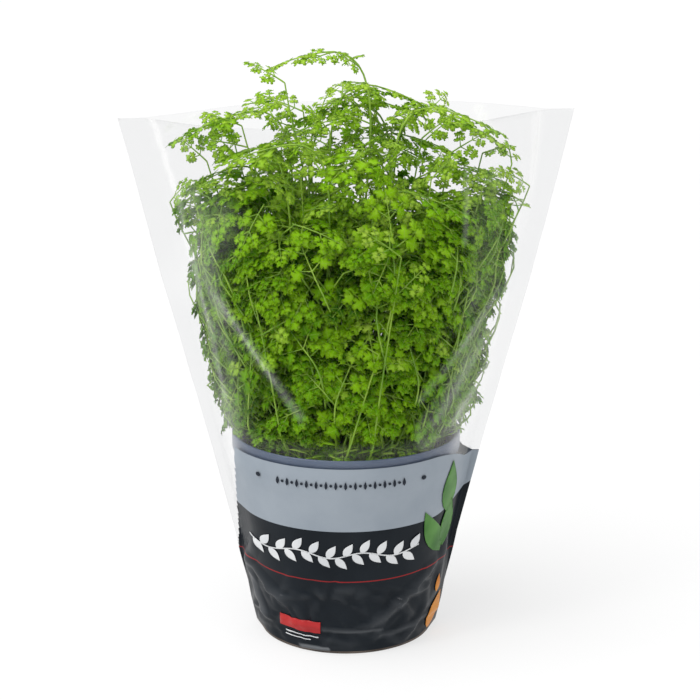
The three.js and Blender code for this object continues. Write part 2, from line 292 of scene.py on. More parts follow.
def thicken(piece, thickness, offset):
    """Gives a piece of film or ink its thickness in millimetres."""
    wall = piece.modifiers.new("thickness", "SOLIDIFY")
    wall.thickness = thickness * MM
    wall.offset = offset


# %% [markdown]
# ## The pot
# A thin-walled pot is moulded from plastic of one thickness, so its section is one thin line turned about
# the axis: a foot ring, a tapering wall and a collar that stands out and ends in a rounded rim. Spin makes
# exactly that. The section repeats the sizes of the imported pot, with the corners rounded, and the six drain
# holes are cut after.

# %% Pot sizes
FILM = 0.6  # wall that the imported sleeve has
SEAT_GAP = 0.3
POT_FOOT = FILM + SEAT_GAP
POT_TOP = POT_FOOT + 108
RIM_RADIUS = 60
COLLAR_FOOT = POT_TOP - 9.5
POT_WALL = 1.2
WALL_FOOT_RADIUS = 44.2
WALL_TOP_RADIUS = 55.8
BASE_TOP = POT_FOOT + 2 + POT_WALL


def shifted(radius, height, *steps):
    """Points of a section, given by their steps outwards and upwards from one corner."""
    return [(radius + out, height + up) for out, up in steps]


POT_SECTION = [
    *shifted(0, POT_FOOT, (0, 2), (37.2, 2), (37.7, 1.7), (38.2, 0.3), (38.7, 0), (43, 0), (43.8, 0.3)),
    *shifted(0, POT_FOOT, (WALL_FOOT_RADIUS, 1), (47, 24.6), (50, 49.6), (53, 74.5)),
    *shifted(WALL_TOP_RADIUS, COLLAR_FOOT, (0, -0.9), (0.4, -0.3)),
    *shifted(RIM_RADIUS, COLLAR_FOOT, (-0.9, 0), (-0.2, 0.4), (0, 1.2)),
    *shifted(RIM_RADIUS, POT_TOP, (0, -2.2), (-0.05, -0.6), (-0.35, -0.1), (-0.8, 0), (-1.25, -0.15)),
    *shifted(RIM_RADIUS, POT_TOP, (-1.5, -0.8)),
    *shifted(RIM_RADIUS, COLLAR_FOOT, (-1.5, 2), (-1.8, 1.4)),
    *shifted(WALL_TOP_RADIUS, COLLAR_FOOT, (-0.8, 0.9), (-POT_WALL, 0)),
    *shifted(WALL_FOOT_RADIUS - POT_WALL, BASE_TOP, (0, 0.8), (-0.8, 0)),
    (0, BASE_TOP),
]


def spin_section(section, sides):
    """A closed body: (radius, height) points, from the axis back to the axis, turned full circle."""
    bm = bmesh.new()
    points = [bm.verts.new((radius, 0, height)) for radius, height in section]
    edges = [bm.edges.new(pair) for pair in zip(points, points[1:])]
    bmesh.ops.spin(
        bm, geom=points + edges, axis=UP, cent=(0, 0, 0), steps=sides, angle=2 * pi, use_merge=True)
    bmesh.ops.remove_doubles(bm, verts=bm.verts, dist=1e-3)
    bmesh.ops.recalc_face_normals(bm, faces=bm.faces)
    return bm


# %% Blue-grey plastic
plastic = Look("blue grey plastic")
pot_colour = plastic.ramp(plastic.noise(40, 3), (0.3, (0.085, 0.115, 0.180)), (0.7, (0.108, 0.142, 0.212)))
plastic.show(plastic.surface(pot_colour, 0.38, Normal=plastic.bump(plastic.noise(900), 0.25, 0.0001)))

# %% Turn the pot and cut its drain holes
DRAIN_HOLES = 6
DRAIN_RADIUS = 4
DRAIN_CIRCLE = 27
DRILL_LENGTH = 20

pot = finish_piece(spin_section(POT_SECTION, 96), "herb_pot", [plastic], ["pot"])
drills = bmesh.new()
for hole in range(DRAIN_HOLES):
    place = around(DRAIN_CIRCLE, 2 * pi * hole / DRAIN_HOLES, BASE_TOP)
    bmesh.ops.create_cone(
        drills, cap_ends=True, segments=20, radius1=DRAIN_RADIUS * MM, radius2=DRAIN_RADIUS * MM,
        depth=DRILL_LENGTH * MM, matrix=Matrix.Translation(place * MM))
drill = new_object("drills", new_mesh("drills", drills))
cut = pot.modifiers.new("drain holes", "BOOLEAN")
cut.object = drill
cut.solver = "EXACT"
bpy.context.view_layer.update()
drilled = bpy.data.meshes.new_from_object(pot.evaluated_get(bpy.context.evaluated_depsgraph_get()))
pot.modifiers.clear()
pot.data = drilled
bpy.data.objects.remove(drill)
print("pot after drilling:", len(pot.data.polygons), "faces")

# %% [markdown]
# ## The peat
# The peat fills the pot to a finger's width under the rim. Its body is a spun plug with a fine top. Noise
# lifts and sinks the top, and some hundreds of small crumbs, each a dented little ball, lie half sunk in
# it.

# %% Peat sizes
SOIL_TOP = 97.5
SOIL_EDGE = 54.0
SOIL_LUMP = 1.1


def soil_height(x, y):
    """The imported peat's broad lumps with finer ones on top."""
    broad = sin(0.31 * x + 0.4) * cos(0.27 * y - 0.9)
    lumps = SOIL_LUMP * (broad + 0.5 * sin(0.7 * (x + y)))
    fine = noise.noise(Vector((x / 3.1, y / 3.1, 5.0))) + 0.6 * noise.noise(Vector((x / 1.3, y / 1.3, 9.0)))
    return SOIL_TOP + lumps + 0.7 * fine


# %% Peat colour
peat = Look("peat")
fibres = peat.noise(900, 5, (1, 1, 0.5))
peat_colour = peat.ramp(
    fibres, (0.25, (0.008, 0.005, 0.003)), (0.55, (0.03, 0.018, 0.011)), (0.8, (0.085, 0.055, 0.034)))
peat.show(peat.surface(peat_colour, 0.95, Normal=peat.bump(fibres, 0.9, 0.0006)))

# %% Fill the pot
TOP_RINGS = 34
CRUMBS = 420
CRUMB_CIRCLE = 52
plug = [(0, BASE_TOP + SEAT_GAP)]
plug += shifted(WALL_FOOT_RADIUS - POT_WALL, BASE_TOP, (-0.9, SEAT_GAP), (-0.4, 1.4))
plug += [(SOIL_EDGE - 0.4, SOIL_TOP - 4)]
plug += [(SOIL_EDGE * ring / TOP_RINGS, SOIL_TOP) for ring in range(TOP_RINGS, -1, -1)]
soil_bm = spin_section(plug, 120)
for vert in soil_bm.verts:
    if vert.co.z > SOIL_TOP - 1:
        vert.co.z = soil_height(vert.co.x, vert.co.y)
draw = seeded_draws(83)
for _ in range(CRUMBS):
    place = around(CRUMB_CIRCLE * sqrt(draw(0, 1)), draw(0, 2 * pi), 0)
    size = draw(0.5, 1.9)
    place.z = soil_height(place.x, place.y) + 0.2 * size
    spin = Quaternion((draw(-1, 1), draw(-1, 1), draw(0.1, 1)), draw(0, 6))
    dents = Matrix.Diagonal((size, size * draw(0.6, 1), size * draw(0.5, 0.9), 1))
    shape = Matrix.Translation(place) @ spin.to_matrix().to_4x4() @ dents
    bmesh.ops.create_icosphere(soil_bm, subdivisions=1, radius=1, matrix=shape)
finish_piece(soil_bm, "peat", [peat], ["soil"])

# %% [markdown]
# ## The sleeve's form
# The sleeve is two flat sheets of film welded along both sides. Opened round the pot, each sheet follows
# the pot in front and behind and runs straight out to the side weld, so a section has the shape of an eye.
# The rings below give that eye at some heights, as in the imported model; between them its sizes change
# evenly.

# %% Sleeve rings
# height, half width at the weld's edge, where the sheets part, half width and half depth of the round part
SLEEVE_RINGS = [
    (0, 48.5, 47.4, 45.8, 45.8),
    (13, 52, 50.4, 47.6, 47.6),
    (52, 59.5, 57, 52.6, 52.6),
    (97, 70.5, 66.8, 61.2, 61.2),
    (110, 74, 70.4, 61.8, 61.4),
    (150, 84.5, 79.5, 68, 63.5),
    (190, 95.2, 89.5, 75, 66.5),
    (235, 106, 99, 81, 69),
    (273.5, 115, 103, 85, 70),
]
MOUTH = SLEEVE_RINGS[-1][0]
MOUTH_TILT = 0.022


def ring_at(height):
    """Edge, parting, wide and deep at any height."""
    return between_rows(SLEEVE_RINGS, height)


def reach(azimuth, height):
    """How far the inside of the film is from the axis, in one direction at one height."""
    _, parting, wide, deep = ring_at(height)
    leave = acos(wide / parting)
    touch_x, touch_y = wide * cos(leave), deep * sin(leave)
    slant = atan2(touch_y, parting - touch_x)
    side = atan2(abs(sin(azimuth)), abs(cos(azimuth)))
    if side >= atan2(touch_y, touch_x):
        return 1 / hypot(cos(side) / wide, sin(side) / deep) - FILM
    return parting * sin(slant) / sin(slant + side) - FILM


def towards_film(turn, height):
    """The azimuth of a turn round the eye-shaped section, and how far away the film is there."""
    _, parting, _, deep = ring_at(height)
    azimuth = atan2(deep * sin(turn), parting * cos(turn))
    return azimuth, reach(azimuth, height)


print("half width of the mouth:", ring_at(MOUTH)[0], "mm")

# %% [markdown]
# ## Chervil leaflets
# A chervil frond is cut two or three times over, and what the eye reads is its smallest leaflet: a few
# millimetres long and as broad, with two deep lobes on each side and a toothed, blunt tip. One half is
# drawn as ten triangles fanned from the rib, then mirrored. A second skin under it shares the rim, so the
# leaflet is a closed lens with few faces, because it is placed thousands of times.

# %% Draw one leaflet, one unit long
RIB = [(0.0, 0.0), (0.28, 0.0), (0.60, 0.0), (1.02, 0.0)]
LOBES = [  # the rim from the stalk to the tip, grouped by the rib point that each lobe fans from
    [(0.10, 0.10)],
    [(0.12, 0.34), (0.29, 0.50), (0.40, 0.22), (0.49, 0.52)],
    [(0.68, 0.42), (0.71, 0.17), (0.94, 0.20)],
]
LEAF_HALF_THICKNESS = 0.018


def half_leaflet(bm, ribs, lobes, bend):
    """The triangles of the half at +Y, bent by a function of (x, y)."""
    rib = [bm.verts.new((x, y, bend(x, y))) for x, y in ribs]
    rim = [[bm.verts.new((x, y, bend(x, y))) for x, y in lobe] for lobe in lobes]
    last = rim[0][0]
    bm.faces.new((rib[0], rib[1], last))
    for centre, following, lobe in zip(rib[1:], rib[2:], rim[1:]):
        for point in lobe:
            bm.faces.new((centre, point, last))
            last = point
        bm.faces.new((centre, following, last))


def foliage_bmesh():
    """An empty bmesh with the layers that the leaf's look reads."""
    bm = bmesh.new()
    bm.loops.layers.uv.new("leaf")
    bm.verts.layers.float.new("tone")
    return bm


def leaflet_template(name, cup, curl, ribs=RIB, lobes=LOBES):
    """A closed leaflet: cup lifts its sides, curl lowers its tip."""
    bm = foliage_bmesh()
    uv = bm.loops.layers.uv["leaf"]
    half_leaflet(bm, ribs, lobes, lambda x, y: cup * abs(y) - curl * x * x)
    bmesh.ops.mirror(bm, geom=bm.verts[:] + bm.edges[:] + bm.faces[:], axis="Y", merge_dist=1e-4)
    inner = [v for v in bm.verts if abs(v.co.y) < 1e-5 and 0.01 < v.co.x < 0.99]
    rim = [e for e in bm.edges if len(e.link_faces) == 1]
    copied = bmesh.ops.duplicate(bm, geom=bm.verts[:] + bm.edges[:] + bm.faces[:])["vert_map"]
    for vert in inner:
        copied[vert].co.z -= LEAF_HALF_THICKNESS
        vert.co.z += LEAF_HALF_THICKNESS
    for edge in rim:
        edge.smooth = False
    bmesh.ops.remove_doubles(bm, verts=bm.verts, dist=1e-4)
    bmesh.ops.recalc_face_normals(bm, faces=bm.faces)
    for face in bm.faces:
        face.smooth = True
        for loop in face.loops:
            loop[uv].uv = (loop.vert.co.x, 0.5 + loop.vert.co.y)
    return new_mesh(name, bm)


LEAFLETS = [
    leaflet_template("leaflet flat", 0.10, 0.06),
    leaflet_template("leaflet cupped", 0.30, 0.12),
    leaflet_template("leaflet curled", 0.16, 0.28),
]
print("faces of one leaflet:", len(LEAFLETS[0].polygons))

# %% [markdown]
# ## Where the leaflets sit on a frond
# A frond one unit long lies along +X. Two pairs of pinnae leave its rib and a last one ends it. Each pinna
# is a small feather of its own, with two pairs of leaflets and one at its tip, and the whole blade arches
# down along and across its rib.

# %% The frond's plan
RIB_DROOP = 0.16
SIDE_DROOP = 0.35
PINNAE = [  # where it leaves the rib, its heading in degrees and its length
    (0.196, 62, 0.49),
    (0.52, 50, 0.356),
    (0.62, 0, 0.396),
]
PAIRS = [(0.34, 0.44), (0.64, 0.37)]  # along the pinna, and the leaflet's length, in shares of the pinna's
PAIR_TURN = 56
TIP_LEAFLET = (0.66, 0.36)


def leaflet_places():
    """(along, aside, heading in degrees, length) of every leaflet, in shares of the frond's length."""
    places = []
    for joint, heading, length in PINNAE:
        leaflets = [(place, turn, size) for place, size in PAIRS for turn in (PAIR_TURN, -PAIR_TURN)]
        leaflets.append((TIP_LEAFLET[0], 0, TIP_LEAFLET[1]))
        for side in (1, -1) if heading else (1,):
            way = radians(side * heading)
            for place, turn, size in leaflets:
                along, aside = joint + place * length * cos(way), place * length * sin(way)
                places.append((along, aside, side * heading + turn, size * length))
    return places


def blade_branches():
    """(start, end) of the rib and of its side branches, in shares of the frond's length."""
    branches = [((0.0, 0.0), (0.9, 0.0))]
    for joint, heading, length in PINNAE[:2]:
        run = 0.8 * length
        along, aside = joint + run * cos(radians(heading)), run * sin(radians(heading))
        branches += [((joint, 0.0), (along, aside)), ((joint, 0.0), (along, -aside))]
    return branches


LEAFLET_PLACES = leaflet_places()
BRANCHES = blade_branches()
print(len(LEAFLET_PLACES), "leaflets and", len(BRANCHES), "branches a frond")


# %% [markdown]
# ## Building fronds
# A stalk is a smooth curve with a round bevel that thins towards the blade, and Blender turns a curve with
# many splines into one mesh at once. The leaflets are copies of the templates, each with its own small
# twist and its own tone, which the leaf's look reads as an attribute.

# %% Stalks as curves
class StalkBundle:
    """Collects tapered stalks and makes one mesh of them."""

    def __init__(self):
        self.curve = bpy.data.curves.new("stalks", "CURVE")
        self.curve.dimensions = "3D"
        self.curve.bevel_depth = 1.0
        self.curve.bevel_resolution = 0
        self.curve.use_fill_caps = True

    def add(self, points, thick, thin):
        spline = self.curve.splines.new("POLY")
        spline.points.add(len(points) - 1)
        for i, point in enumerate(points):
            spline.points[i].co = (*point, 1)
            spline.points[i].radius = thick + (thin - thick) * i / (len(points) - 1)

    def join_to(self, bm):
        """Adds the stalks to a bmesh with the stalk's material, and removes the curve."""
        holder = bpy.data.objects.new("stalks", self.curve)
        mesh = bpy.data.meshes.new_from_object(holder)
        mesh.polygons.foreach_set("material_index", [1] * len(mesh.polygons))
        bm.from_mesh(mesh)
        bpy.data.objects.remove(holder)
        bpy.data.curves.remove(self.curve)
        bpy.data.meshes.remove(mesh)


def bezier(points, share):
    """A point of the cubic curve with four control points."""
    back = 1 - share
    a, b, c, d = points
    return back ** 3 * a + 3 * back * back * share * b + 3 * back * share * share * c + share ** 3 * d


# %% A frond from its form
def blade_foot(form):
    return form["middle"] - 0.5 * form["length"] * form["rib"]


def blade_matrix(form):
    """From the flat frond, one unit long, to its place."""
    across = form["face"].cross(form["rib"])
    turned = Matrix((form["rib"], across, form["face"])).transposed().to_4x4()
    return Matrix.Translation(blade_foot(form)) @ turned @ Matrix.Scale(form["length"], 4)


def arched(along, aside):
    """A point of the flat frond, on the arched blade."""
    return Vector((along, aside, -RIB_DROOP * along * along - SIDE_DROOP * aside * aside))


def leaflet_matrix(along, aside, heading, length, draw):
    """A leaflet's place on the arched blade, with a little twist of its own."""
    turn = radians(heading + draw(-8, 8))
    normal = Vector((2 * RIB_DROOP * along, 2 * SIDE_DROOP * aside, 1)).normalized()
    run = Vector((cos(turn), sin(turn), 0))
    run = (run - normal * run.dot(normal)).normalized()
    turned = Matrix((run, normal.cross(run), normal)).transposed()
    roll = Quaternion((1, 0, 0), radians(draw(-12, 12)))
    turned = turned @ (roll @ Quaternion((0, 1, 0), radians(draw(-8, 14)))).to_matrix()
    size = length * draw(0.92, 1.18)
    return Matrix.Translation(arched(along, aside)) @ turned.to_4x4() @ Matrix.Scale(size, 4)


def add_leaf(bm, template, place, tone):
    """Adds a copy of a template to a bmesh."""
    leaf = template.copy()
    leaf.transform(place)
    leaf.attributes["tone"].data.foreach_set("value", [tone] * len(leaf.vertices))
    bm.from_mesh(leaf)
    bpy.data.meshes.remove(leaf)


FULLNESS = 0.9  # share of their planned length that leaflets have
YOUNG_FULLNESS = 0.8
PACKED_FULLNESS = 0.82


def add_leaflets(bm, form, draw):
    """Adds the leaflets of one frond to a bmesh."""
    blade = blade_matrix(form)
    for along, aside, heading, length in LEAFLET_PLACES:
        template = LEAFLETS[int(draw(0, 2.999))]
        place = leaflet_matrix(along, aside, heading, form.get("fullness", FULLNESS) * length, draw)
        add_leaf(bm, template, blade @ place, form["tone"] + draw(-0.09, 0.09))


def stalk_point(form, share):
    """A point of the stalk's curve, from the soil at 0 to the blade's foot at 1."""
    foot = blade_foot(form)
    rise = foot.z - form["start"].z
    lower = form["start"] + 0.45 * rise * form["sprout"]
    upper = foot - 0.26 * rise * form.get("arrival", form["rib"])
    return bezier((form["start"], lower, upper, foot + 0.05 * form["length"] * form["rib"]), share)


STALK_RADIUS = 0.72
YOUNG_STALK_RADIUS = 0.4
RIB_RADIUS = 0.42
BRANCH_RADIUS = 0.3
TIP_RADIUS = 0.22
STEM_RADII = (0.62, 0.36)  # of a bare stem, at its foot and at its tip


def add_stalks(bundle, form, steps):
    """Adds a frond's stalk, rib and branches."""
    path = [stalk_point(form, step / steps) for step in range(steps + 1)]
    bundle.add([form["root"], *path] if "root" in form else path, form.get("thick", STALK_RADIUS), RIB_RADIUS)
    place = blade_matrix(form)
    for i, ((a, b), (c, d)) in enumerate(BRANCHES):
        parts = 2 if i else 4
        along = [place @ arched(a + (c - a) * s / parts, b + (d - b) * s / parts) for s in range(parts + 1)]
        bundle.add(along, BRANCH_RADIUS if i else RIB_RADIUS, TIP_RADIUS)


def frond_piece(name, forms, nodes=(), steps=9, stems=()):
    """One piece that holds the fronds of several forms, and bare stems given as points."""
    bm = foliage_bmesh()
    bundle = StalkBundle()
    for form in forms:
        add_leaflets(bm, form, seeded_draws(form["seed"]))
        add_stalks(bundle, form, steps)
    for points in stems:
        bundle.add(points, *STEM_RADII)
    bundle.join_to(bm)
    finish_piece(bm, name, [leaf_green, stalk_green], nodes)


# %% [markdown]
# ## Leaf green
# Chervil is a thin, soft, yellowish green leaf. Some of the light that falls on it comes out on the other
# side, so a Translucent shader is mixed in. Tones differ from leaflet to leaflet through the tone
# attribute, which also carries painted light and shade: fronds are lighter towards the crown and darker
# in the middle of the plant. The leaf's own UV map gives the distance from its rib, and with it a paler rib
# and paler teeth. The pale teeth are partly real and partly a painted highlight on the leaflets' tips.

# %% Leaf and stalk materials
leaf_green = Look("chervil leaf")
mottled = leaf_green.calculate("MULTIPLY_ADD", leaf_green.noise(260), 0.35, leaf_green.attribute("tone"))
leaf_colour = leaf_green.ramp(
    mottled, (0.15, (0.03, 0.125, 0.001)), (0.40, (0.155, 0.43, 0.003)), (0.66, (0.33, 0.66, 0.007)),
    (1.0, (0.56, 0.80, 0.10)))
leaf_map = leaf_green.node("UVMap", "UV", {"uv_map": "leaf"})
leaf_split = leaf_green.node("SeparateXYZ", Vector=leaf_map).node.outputs
aside = leaf_green.calculate("ABSOLUTE", leaf_green.calculate("SUBTRACT", leaf_split["Y"], 0.5))
toothward = leaf_green.calculate("MULTIPLY_ADD", leaf_split["X"], 0.45, aside)
pale_teeth_and_highlight = leaf_green.rescale(toothward, 0.28, 0.62, 0.0, 0.5)
rib_line = leaf_green.rescale(aside, 0.0, 0.05, 0.5, 0.0)
# partly painted highlight: the teeth and tips of the leaflets are paled
leaf_colour = leaf_green.blend(pale_teeth_and_highlight, leaf_colour, (0.42, 0.72, 0.03))
leaf_colour = leaf_green.blend(rib_line, leaf_colour, (0.40, 0.60, 0.08))
leaf_surface = leaf_green.surface(leaf_colour, 0.48, Specular_IOR_Level=0.07)
leaf_through = leaf_green.node("BsdfTranslucent", Color=leaf_colour)
leaf_green.show(leaf_green.mix(0.34, leaf_surface, leaf_through))

stalk_green = Look("chervil stalk")
stripe = stalk_green.noise(180, 2, (1, 1, 0.2))
stalk_colour = stalk_green.ramp(stripe, (0.3, (0.15, 0.32, 0.015)), (0.7, (0.34, 0.54, 0.045)))
stalk_green.show(stalk_green.surface(stalk_colour, 0.45))

# %% [markdown]
# ## The 28 seedlings
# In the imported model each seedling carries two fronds. Their places come from numbered draws, and the first
# draw that stood clear of its neighbours was kept. The same draws are made here, and the one whose blade
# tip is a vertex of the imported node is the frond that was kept, so the fine frond lies just where the
# packed one does.

# %% The draws of a packed frond
PLANTS = 28
TOP_PLANTS = 11
ROOT_CIRCLE = 45
ROOT_DEPTH = 9
PARTING_HEIGHT = SOIL_TOP + 2
GOLDEN_ANGLE = pi * (3 - sqrt(5))
FROND_LENGTH = 46
CANOPY_FOOT = 126
CANOPY_SHOULDER = 236
CANOPY_CROWN = 272
SECOND_TIER = 24
TRIES = 900
BLADE = 0.6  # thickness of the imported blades


def root_place(plant, height):
    return around(ROOT_CIRCLE * sqrt((plant + 0.5) / PLANTS), plant * GOLDEN_ANGLE, height)


def posture(azimuth, lift, lean):
    """The way a blade faces and its rib runs: lift raises the face, lean turns the rib from uphill."""
    face = direction(azimuth, lift)
    uphill = (UP - face * UP.dot(face)).normalized()
    return face, Quaternion(face, lean) @ uphill


def packed_form(plant, place, attempt):
    """The frond that one numbered draw gives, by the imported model's own rules. Slack grows with the tries."""
    draw = seeded_draws(1 + plant * 7919 + place * 104729 + attempt * 1299709)
    slack = attempt / TRIES
    on_top = plant < TOP_PLANTS
    top_rank = (2 * plant + place + 0.5) / (2 * TOP_PLANTS)
    side_rank = ((plant - TOP_PLANTS) * 0.618 + place * 0.5) % 1
    share = 0.85 * sqrt(1 - top_rank) + draw(-0.08, 0.08) if on_top else draw(0.76 - 0.3 * slack, 0.94)
    dome = (CANOPY_CROWN - CANOPY_SHOULDER) * sqrt(1 - share * share)
    side = CANOPY_FOOT + side_rank * (CANOPY_SHOULDER - CANOPY_FOOT)
    height = CANOPY_SHOULDER + dome - SECOND_TIER * place if on_top else side
    height += draw(-6, 6) * (1 + 9 * slack)
    turn = plant * GOLDEN_ANGLE + (1 if place else -1) * radians(draw(4, 40 + 120 * slack))
    azimuth, room = towards_film(turn, height)
    arching = on_top or draw(0, 1) < 0.45
    lift = radians(draw(42, 82 if on_top else 66) if arching else draw(-4, 14))
    lean = radians(draw(-58, 58)) + (pi if arching else 0)
    face, rib = posture(azimuth, lift, lean)
    length = FROND_LENGTH * draw(0.88, 1.08) * (1 - 0.3 * slack)
    middle = around(abs(share) * room, azimuth, height)
    start = root_place(plant, PARTING_HEIGHT)
    sprout = (UP + draw(0.3, 0.5) * level(middle - start)).normalized()
    return {
        "start": start, "sprout": sprout, "middle": middle, "face": face, "rib": rib, "length": length,
        "root": root_place(plant, SOIL_TOP - ROOT_DEPTH + 0.5), "seed": 7 + 2 * plant + place,
    }


# %% Find the draw that was kept
TIP_ALONG = 1.016  # of the frond's length
SAME_PLACE = 0.05


def kept_form(plant, place, corners):
    """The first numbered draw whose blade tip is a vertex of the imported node."""
    for attempt in range(TRIES):
        form = packed_form(plant, place, attempt)
        length = form["length"]
        tip = form["middle"] + (TIP_ALONG - 0.5) * length * form["rib"]
        tip += (BLADE / 2 - RIB_DROOP * length * TIP_ALONG ** 2) * form["face"]
        if corners.find(tip)[2] < SAME_PLACE:
            return form
    raise ValueError(f"no draw fits plant {plant + 1}, frond {place + 1}")


def packed_forms(plant, name):
    """The two forms of a packed seedling."""
    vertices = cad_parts[name].data.vertices
    corners = KDTree(len(vertices))
    for vertex in vertices:
        corners.insert(vertex.co / MM, vertex.index)
    corners.balance()
    forms = [kept_form(plant, place, corners) for place in (0, 1)]
    for form in forms:
        form["tone"] = frond_tone_and_light(form["middle"], seeded_draws(form["seed"]))
        form["fullness"] = PACKED_FULLNESS
    return forms


FOOT_TONE = 0.26
RISE_PAINTED_LIGHT = 0.12  # painted light: how much lighter the crown is than the canopy's foot
FREE_PAINTED_LIGHT = 0.32  # painted light that is added from FREE_HEIGHT up to the crown
FREE_HEIGHT = 222


def frond_tone_and_light(middle, draw):
    """Painted light: fronds are lighter towards the crown, lightest where they stand free above the shoulder.
    """
    # painted light: the higher a frond stands, the lighter its leaflets are
    rise = RISE_PAINTED_LIGHT * (middle.z - CANOPY_FOOT) / (CANOPY_CROWN - CANOPY_FOOT)
    free = FREE_PAINTED_LIGHT * max(0, middle.z - FREE_HEIGHT) / (CANOPY_CROWN - FREE_HEIGHT)
    return FOOT_TONE + rise + free + draw(-0.16, 0.16)


# %% Grow the seedlings
seedling_forms = []
for plant in range(PLANTS):
    node = f"chervil_plant_{plant + 1:02d}"
    forms = packed_forms(plant, node)
    seedling_forms += forms
    frond_piece(f"seedling_{plant + 1:02d}", forms, [node], 24)

# %% [markdown]
# ## The rest of the fronds
# A supermarket pot is sown with some hundred seeds, so hundreds of fronds crowd the sleeve. They follow the
# same build as the seedlings above, on steep stalks. Blades whose face is well lifted hang from the end of
# their stalk, and the others stand up along the film. The side fronds lie in storeys with dark gaps between
# them, those of the outer layers are pushed out until they nearly touch the film, and small ones fill the
# corners beside the welds.

# %% Rules for a crowd of fronds
LEAF_TO_FILM = 0.9
LEAF_TO_RIM = 3
BLADE_OUTLINE = [(0.0, 0.0), (0.43, 0.43), (0.43, -0.43), (0.75, 0.27), (0.75, -0.27), (1.02, 0.0)]
UPRIGHT = 32  # blades whose face is lifted less than this stand up, the others hang
FOOT_CIRCLE = 49  # the stalks of the crowd leave the peat inside it
FOOT_SWING = 2.6  # how far round the pot a stalk may start from its blade
INWARD_STEP = 0.03
INWARD_STEPS = 9


def inside_film(point, spare=LEAF_TO_FILM):
    return point.z > MOUTH or point.xy.length < reach(atan2(point.y, point.x), point.z) - spare


def film_facing(azimuth, height):
    """The way the film faces, in one direction at one height."""
    before, after = (
        reach(turn, height) * Vector((cos(turn), sin(turn)))
        for turn in (azimuth - 0.02, azimuth + 0.02))
    return atan2(before.x - after.x, after.y - before.y)


def grown_form(chances, turn, height, share, lift, lean, length):
    """A frond at a height and a share of the way to the film. Four chances place its stalk's foot and way."""
    azimuth, room = towards_film(turn, height)
    hanging = pi if lift > UPRIGHT else 0.0
    face, rib = posture(film_facing(azimuth, height), radians(lift), hanging + radians(lean))
    middle = around(share * room, azimuth, height)
    foot_turn = azimuth + FOOT_SWING * (chances[1] - 0.5)
    start = around(FOOT_CIRCLE * sqrt(chances[0]), foot_turn, SOIL_TOP - 2)
    outward = level(middle - start)
    sprout = (UP + (0.1 + 0.25 * chances[2]) * outward).normalized()
    arrival = (rib + (0.35 + 0.4 * chances[3]) * UP + 0.5 * outward).normalized()
    return {"start": start, "sprout": sprout, "middle": middle, "face": face, "rib": rib, "arrival": arrival,
            "length": length}


def blade_inside(form):
    place = blade_matrix(form)
    return all(inside_film(place @ arched(a, b)) for a, b in BLADE_OUTLINE)


def stalk_inside(form):
    """True if the stalk stays inside the film and out of the pot's wall."""
    path = [stalk_point(form, share) for share in (0.08, 0.2, 0.4, 0.6, 0.8, 0.92)]
    low = [p for p in path if p.z < POT_TOP + 2]
    return all(inside_film(p) for p in path) and all(p.xy.length < RIM_RADIUS - LEAF_TO_RIM for p in low)


def all_round(draw):
    return draw(0, 2 * pi)


def near_a_weld(spread):
    return lambda draw: draw(-spread, spread) + (pi if draw(0, 1) < 0.5 else 0)


def between(low, high):
    return lambda draw, turn, share: draw(low, high)


def crowd(seed, count, height_of, shares, lifts, lengths, tone_and_light_shift=0.0, turn_of=all_round, most_lean=75):
    """Forms drawn in turn. Each starts at the outer share and moves in, step by step, until it fits."""
    draw = seeded_draws(seed)
    forms = []
    while len(forms) < count:
        turn, lift, lean, length = turn_of(draw), draw(*lifts), draw(-most_lean, most_lean), draw(*lengths)
        outer = draw(*shares)
        height = height_of(draw, turn, outer)
        chances = [draw(0, 1) for _ in range(4)]
        for step in range(INWARD_STEPS):
            form = grown_form(chances, turn, height, outer - INWARD_STEP * step, lift, lean, length)
            if blade_inside(form):
                break
        if blade_inside(form) and stalk_inside(form):
            form["seed"] = seed + len(forms) * 37
            # the shift is the layer's own tone, and for the middle and crown fronds it is painted shade and
            # painted light
            form["tone"] = frond_tone_and_light(form["middle"], draw) + tone_and_light_shift
            forms.append(form)
    return forms


# %% Fill the sides and the inside
LOWEST_STOREY = 128
STOREY = 17
STOREY_WAVE = 6


def storey_height(draw, turn, share):
    """One of the six storeys between the rim and the shoulder, which wave round the plant."""
    storey = int(draw(0, 5.999))
    return LOWEST_STOREY + STOREY * storey + STOREY_WAVE * sin(3 * turn + 1.1 * storey) + draw(-3, 3)


# seed, how many, height, share of the way to the film, lift, length, tone, place round the axis and lean
LAYERS = {
    "side_fronds": crowd(211, 150, storey_height, (0.9, 0.98), (22, 70), (28, 41)),
    "weld_fronds": crowd(
        733, 130, between(112, 226), (0.94, 1.0), (0, 44), (18, 30), 0, near_a_weld(0.5), 60),
    "shoulder_fronds": crowd(877, 44, between(186, 228), (0.84, 0.97), (30, 72), (24, 36), 0.06),
    "low_weld_fronds": crowd(
        977, 34, between(108, 160), (0.94, 1.0), (0, 50), (16, 26), 0, near_a_weld(0.5), 60),
    "corner_fronds": crowd(
        619, 20, between(112, 152), (0.94, 0.99), (0, 35), (11, 16), -0.06, near_a_weld(0.25), 50),
    # painted shade: the middle fronds get a darker tone, as the inside of the plant lies in shade
    "middle_fronds": crowd(503, 78, storey_height, (0.5, 0.82), (45, 78), (30, 42), -0.34),
}

# %% Close the crown
# The crown's outline over the width of the plant: x and height.
CROWN_LINE = [
    (-95, 210), (-71, 222), (-53, 229), (-30, 233), (5, 231), (27, 231), (50, 229), (68, 226), (95, 216)]
CROWN_HALF_WIDTH = 92
CROWN_FALL = 12  # how much lower it is at the back and the front
CROWN_DEPTH = 32


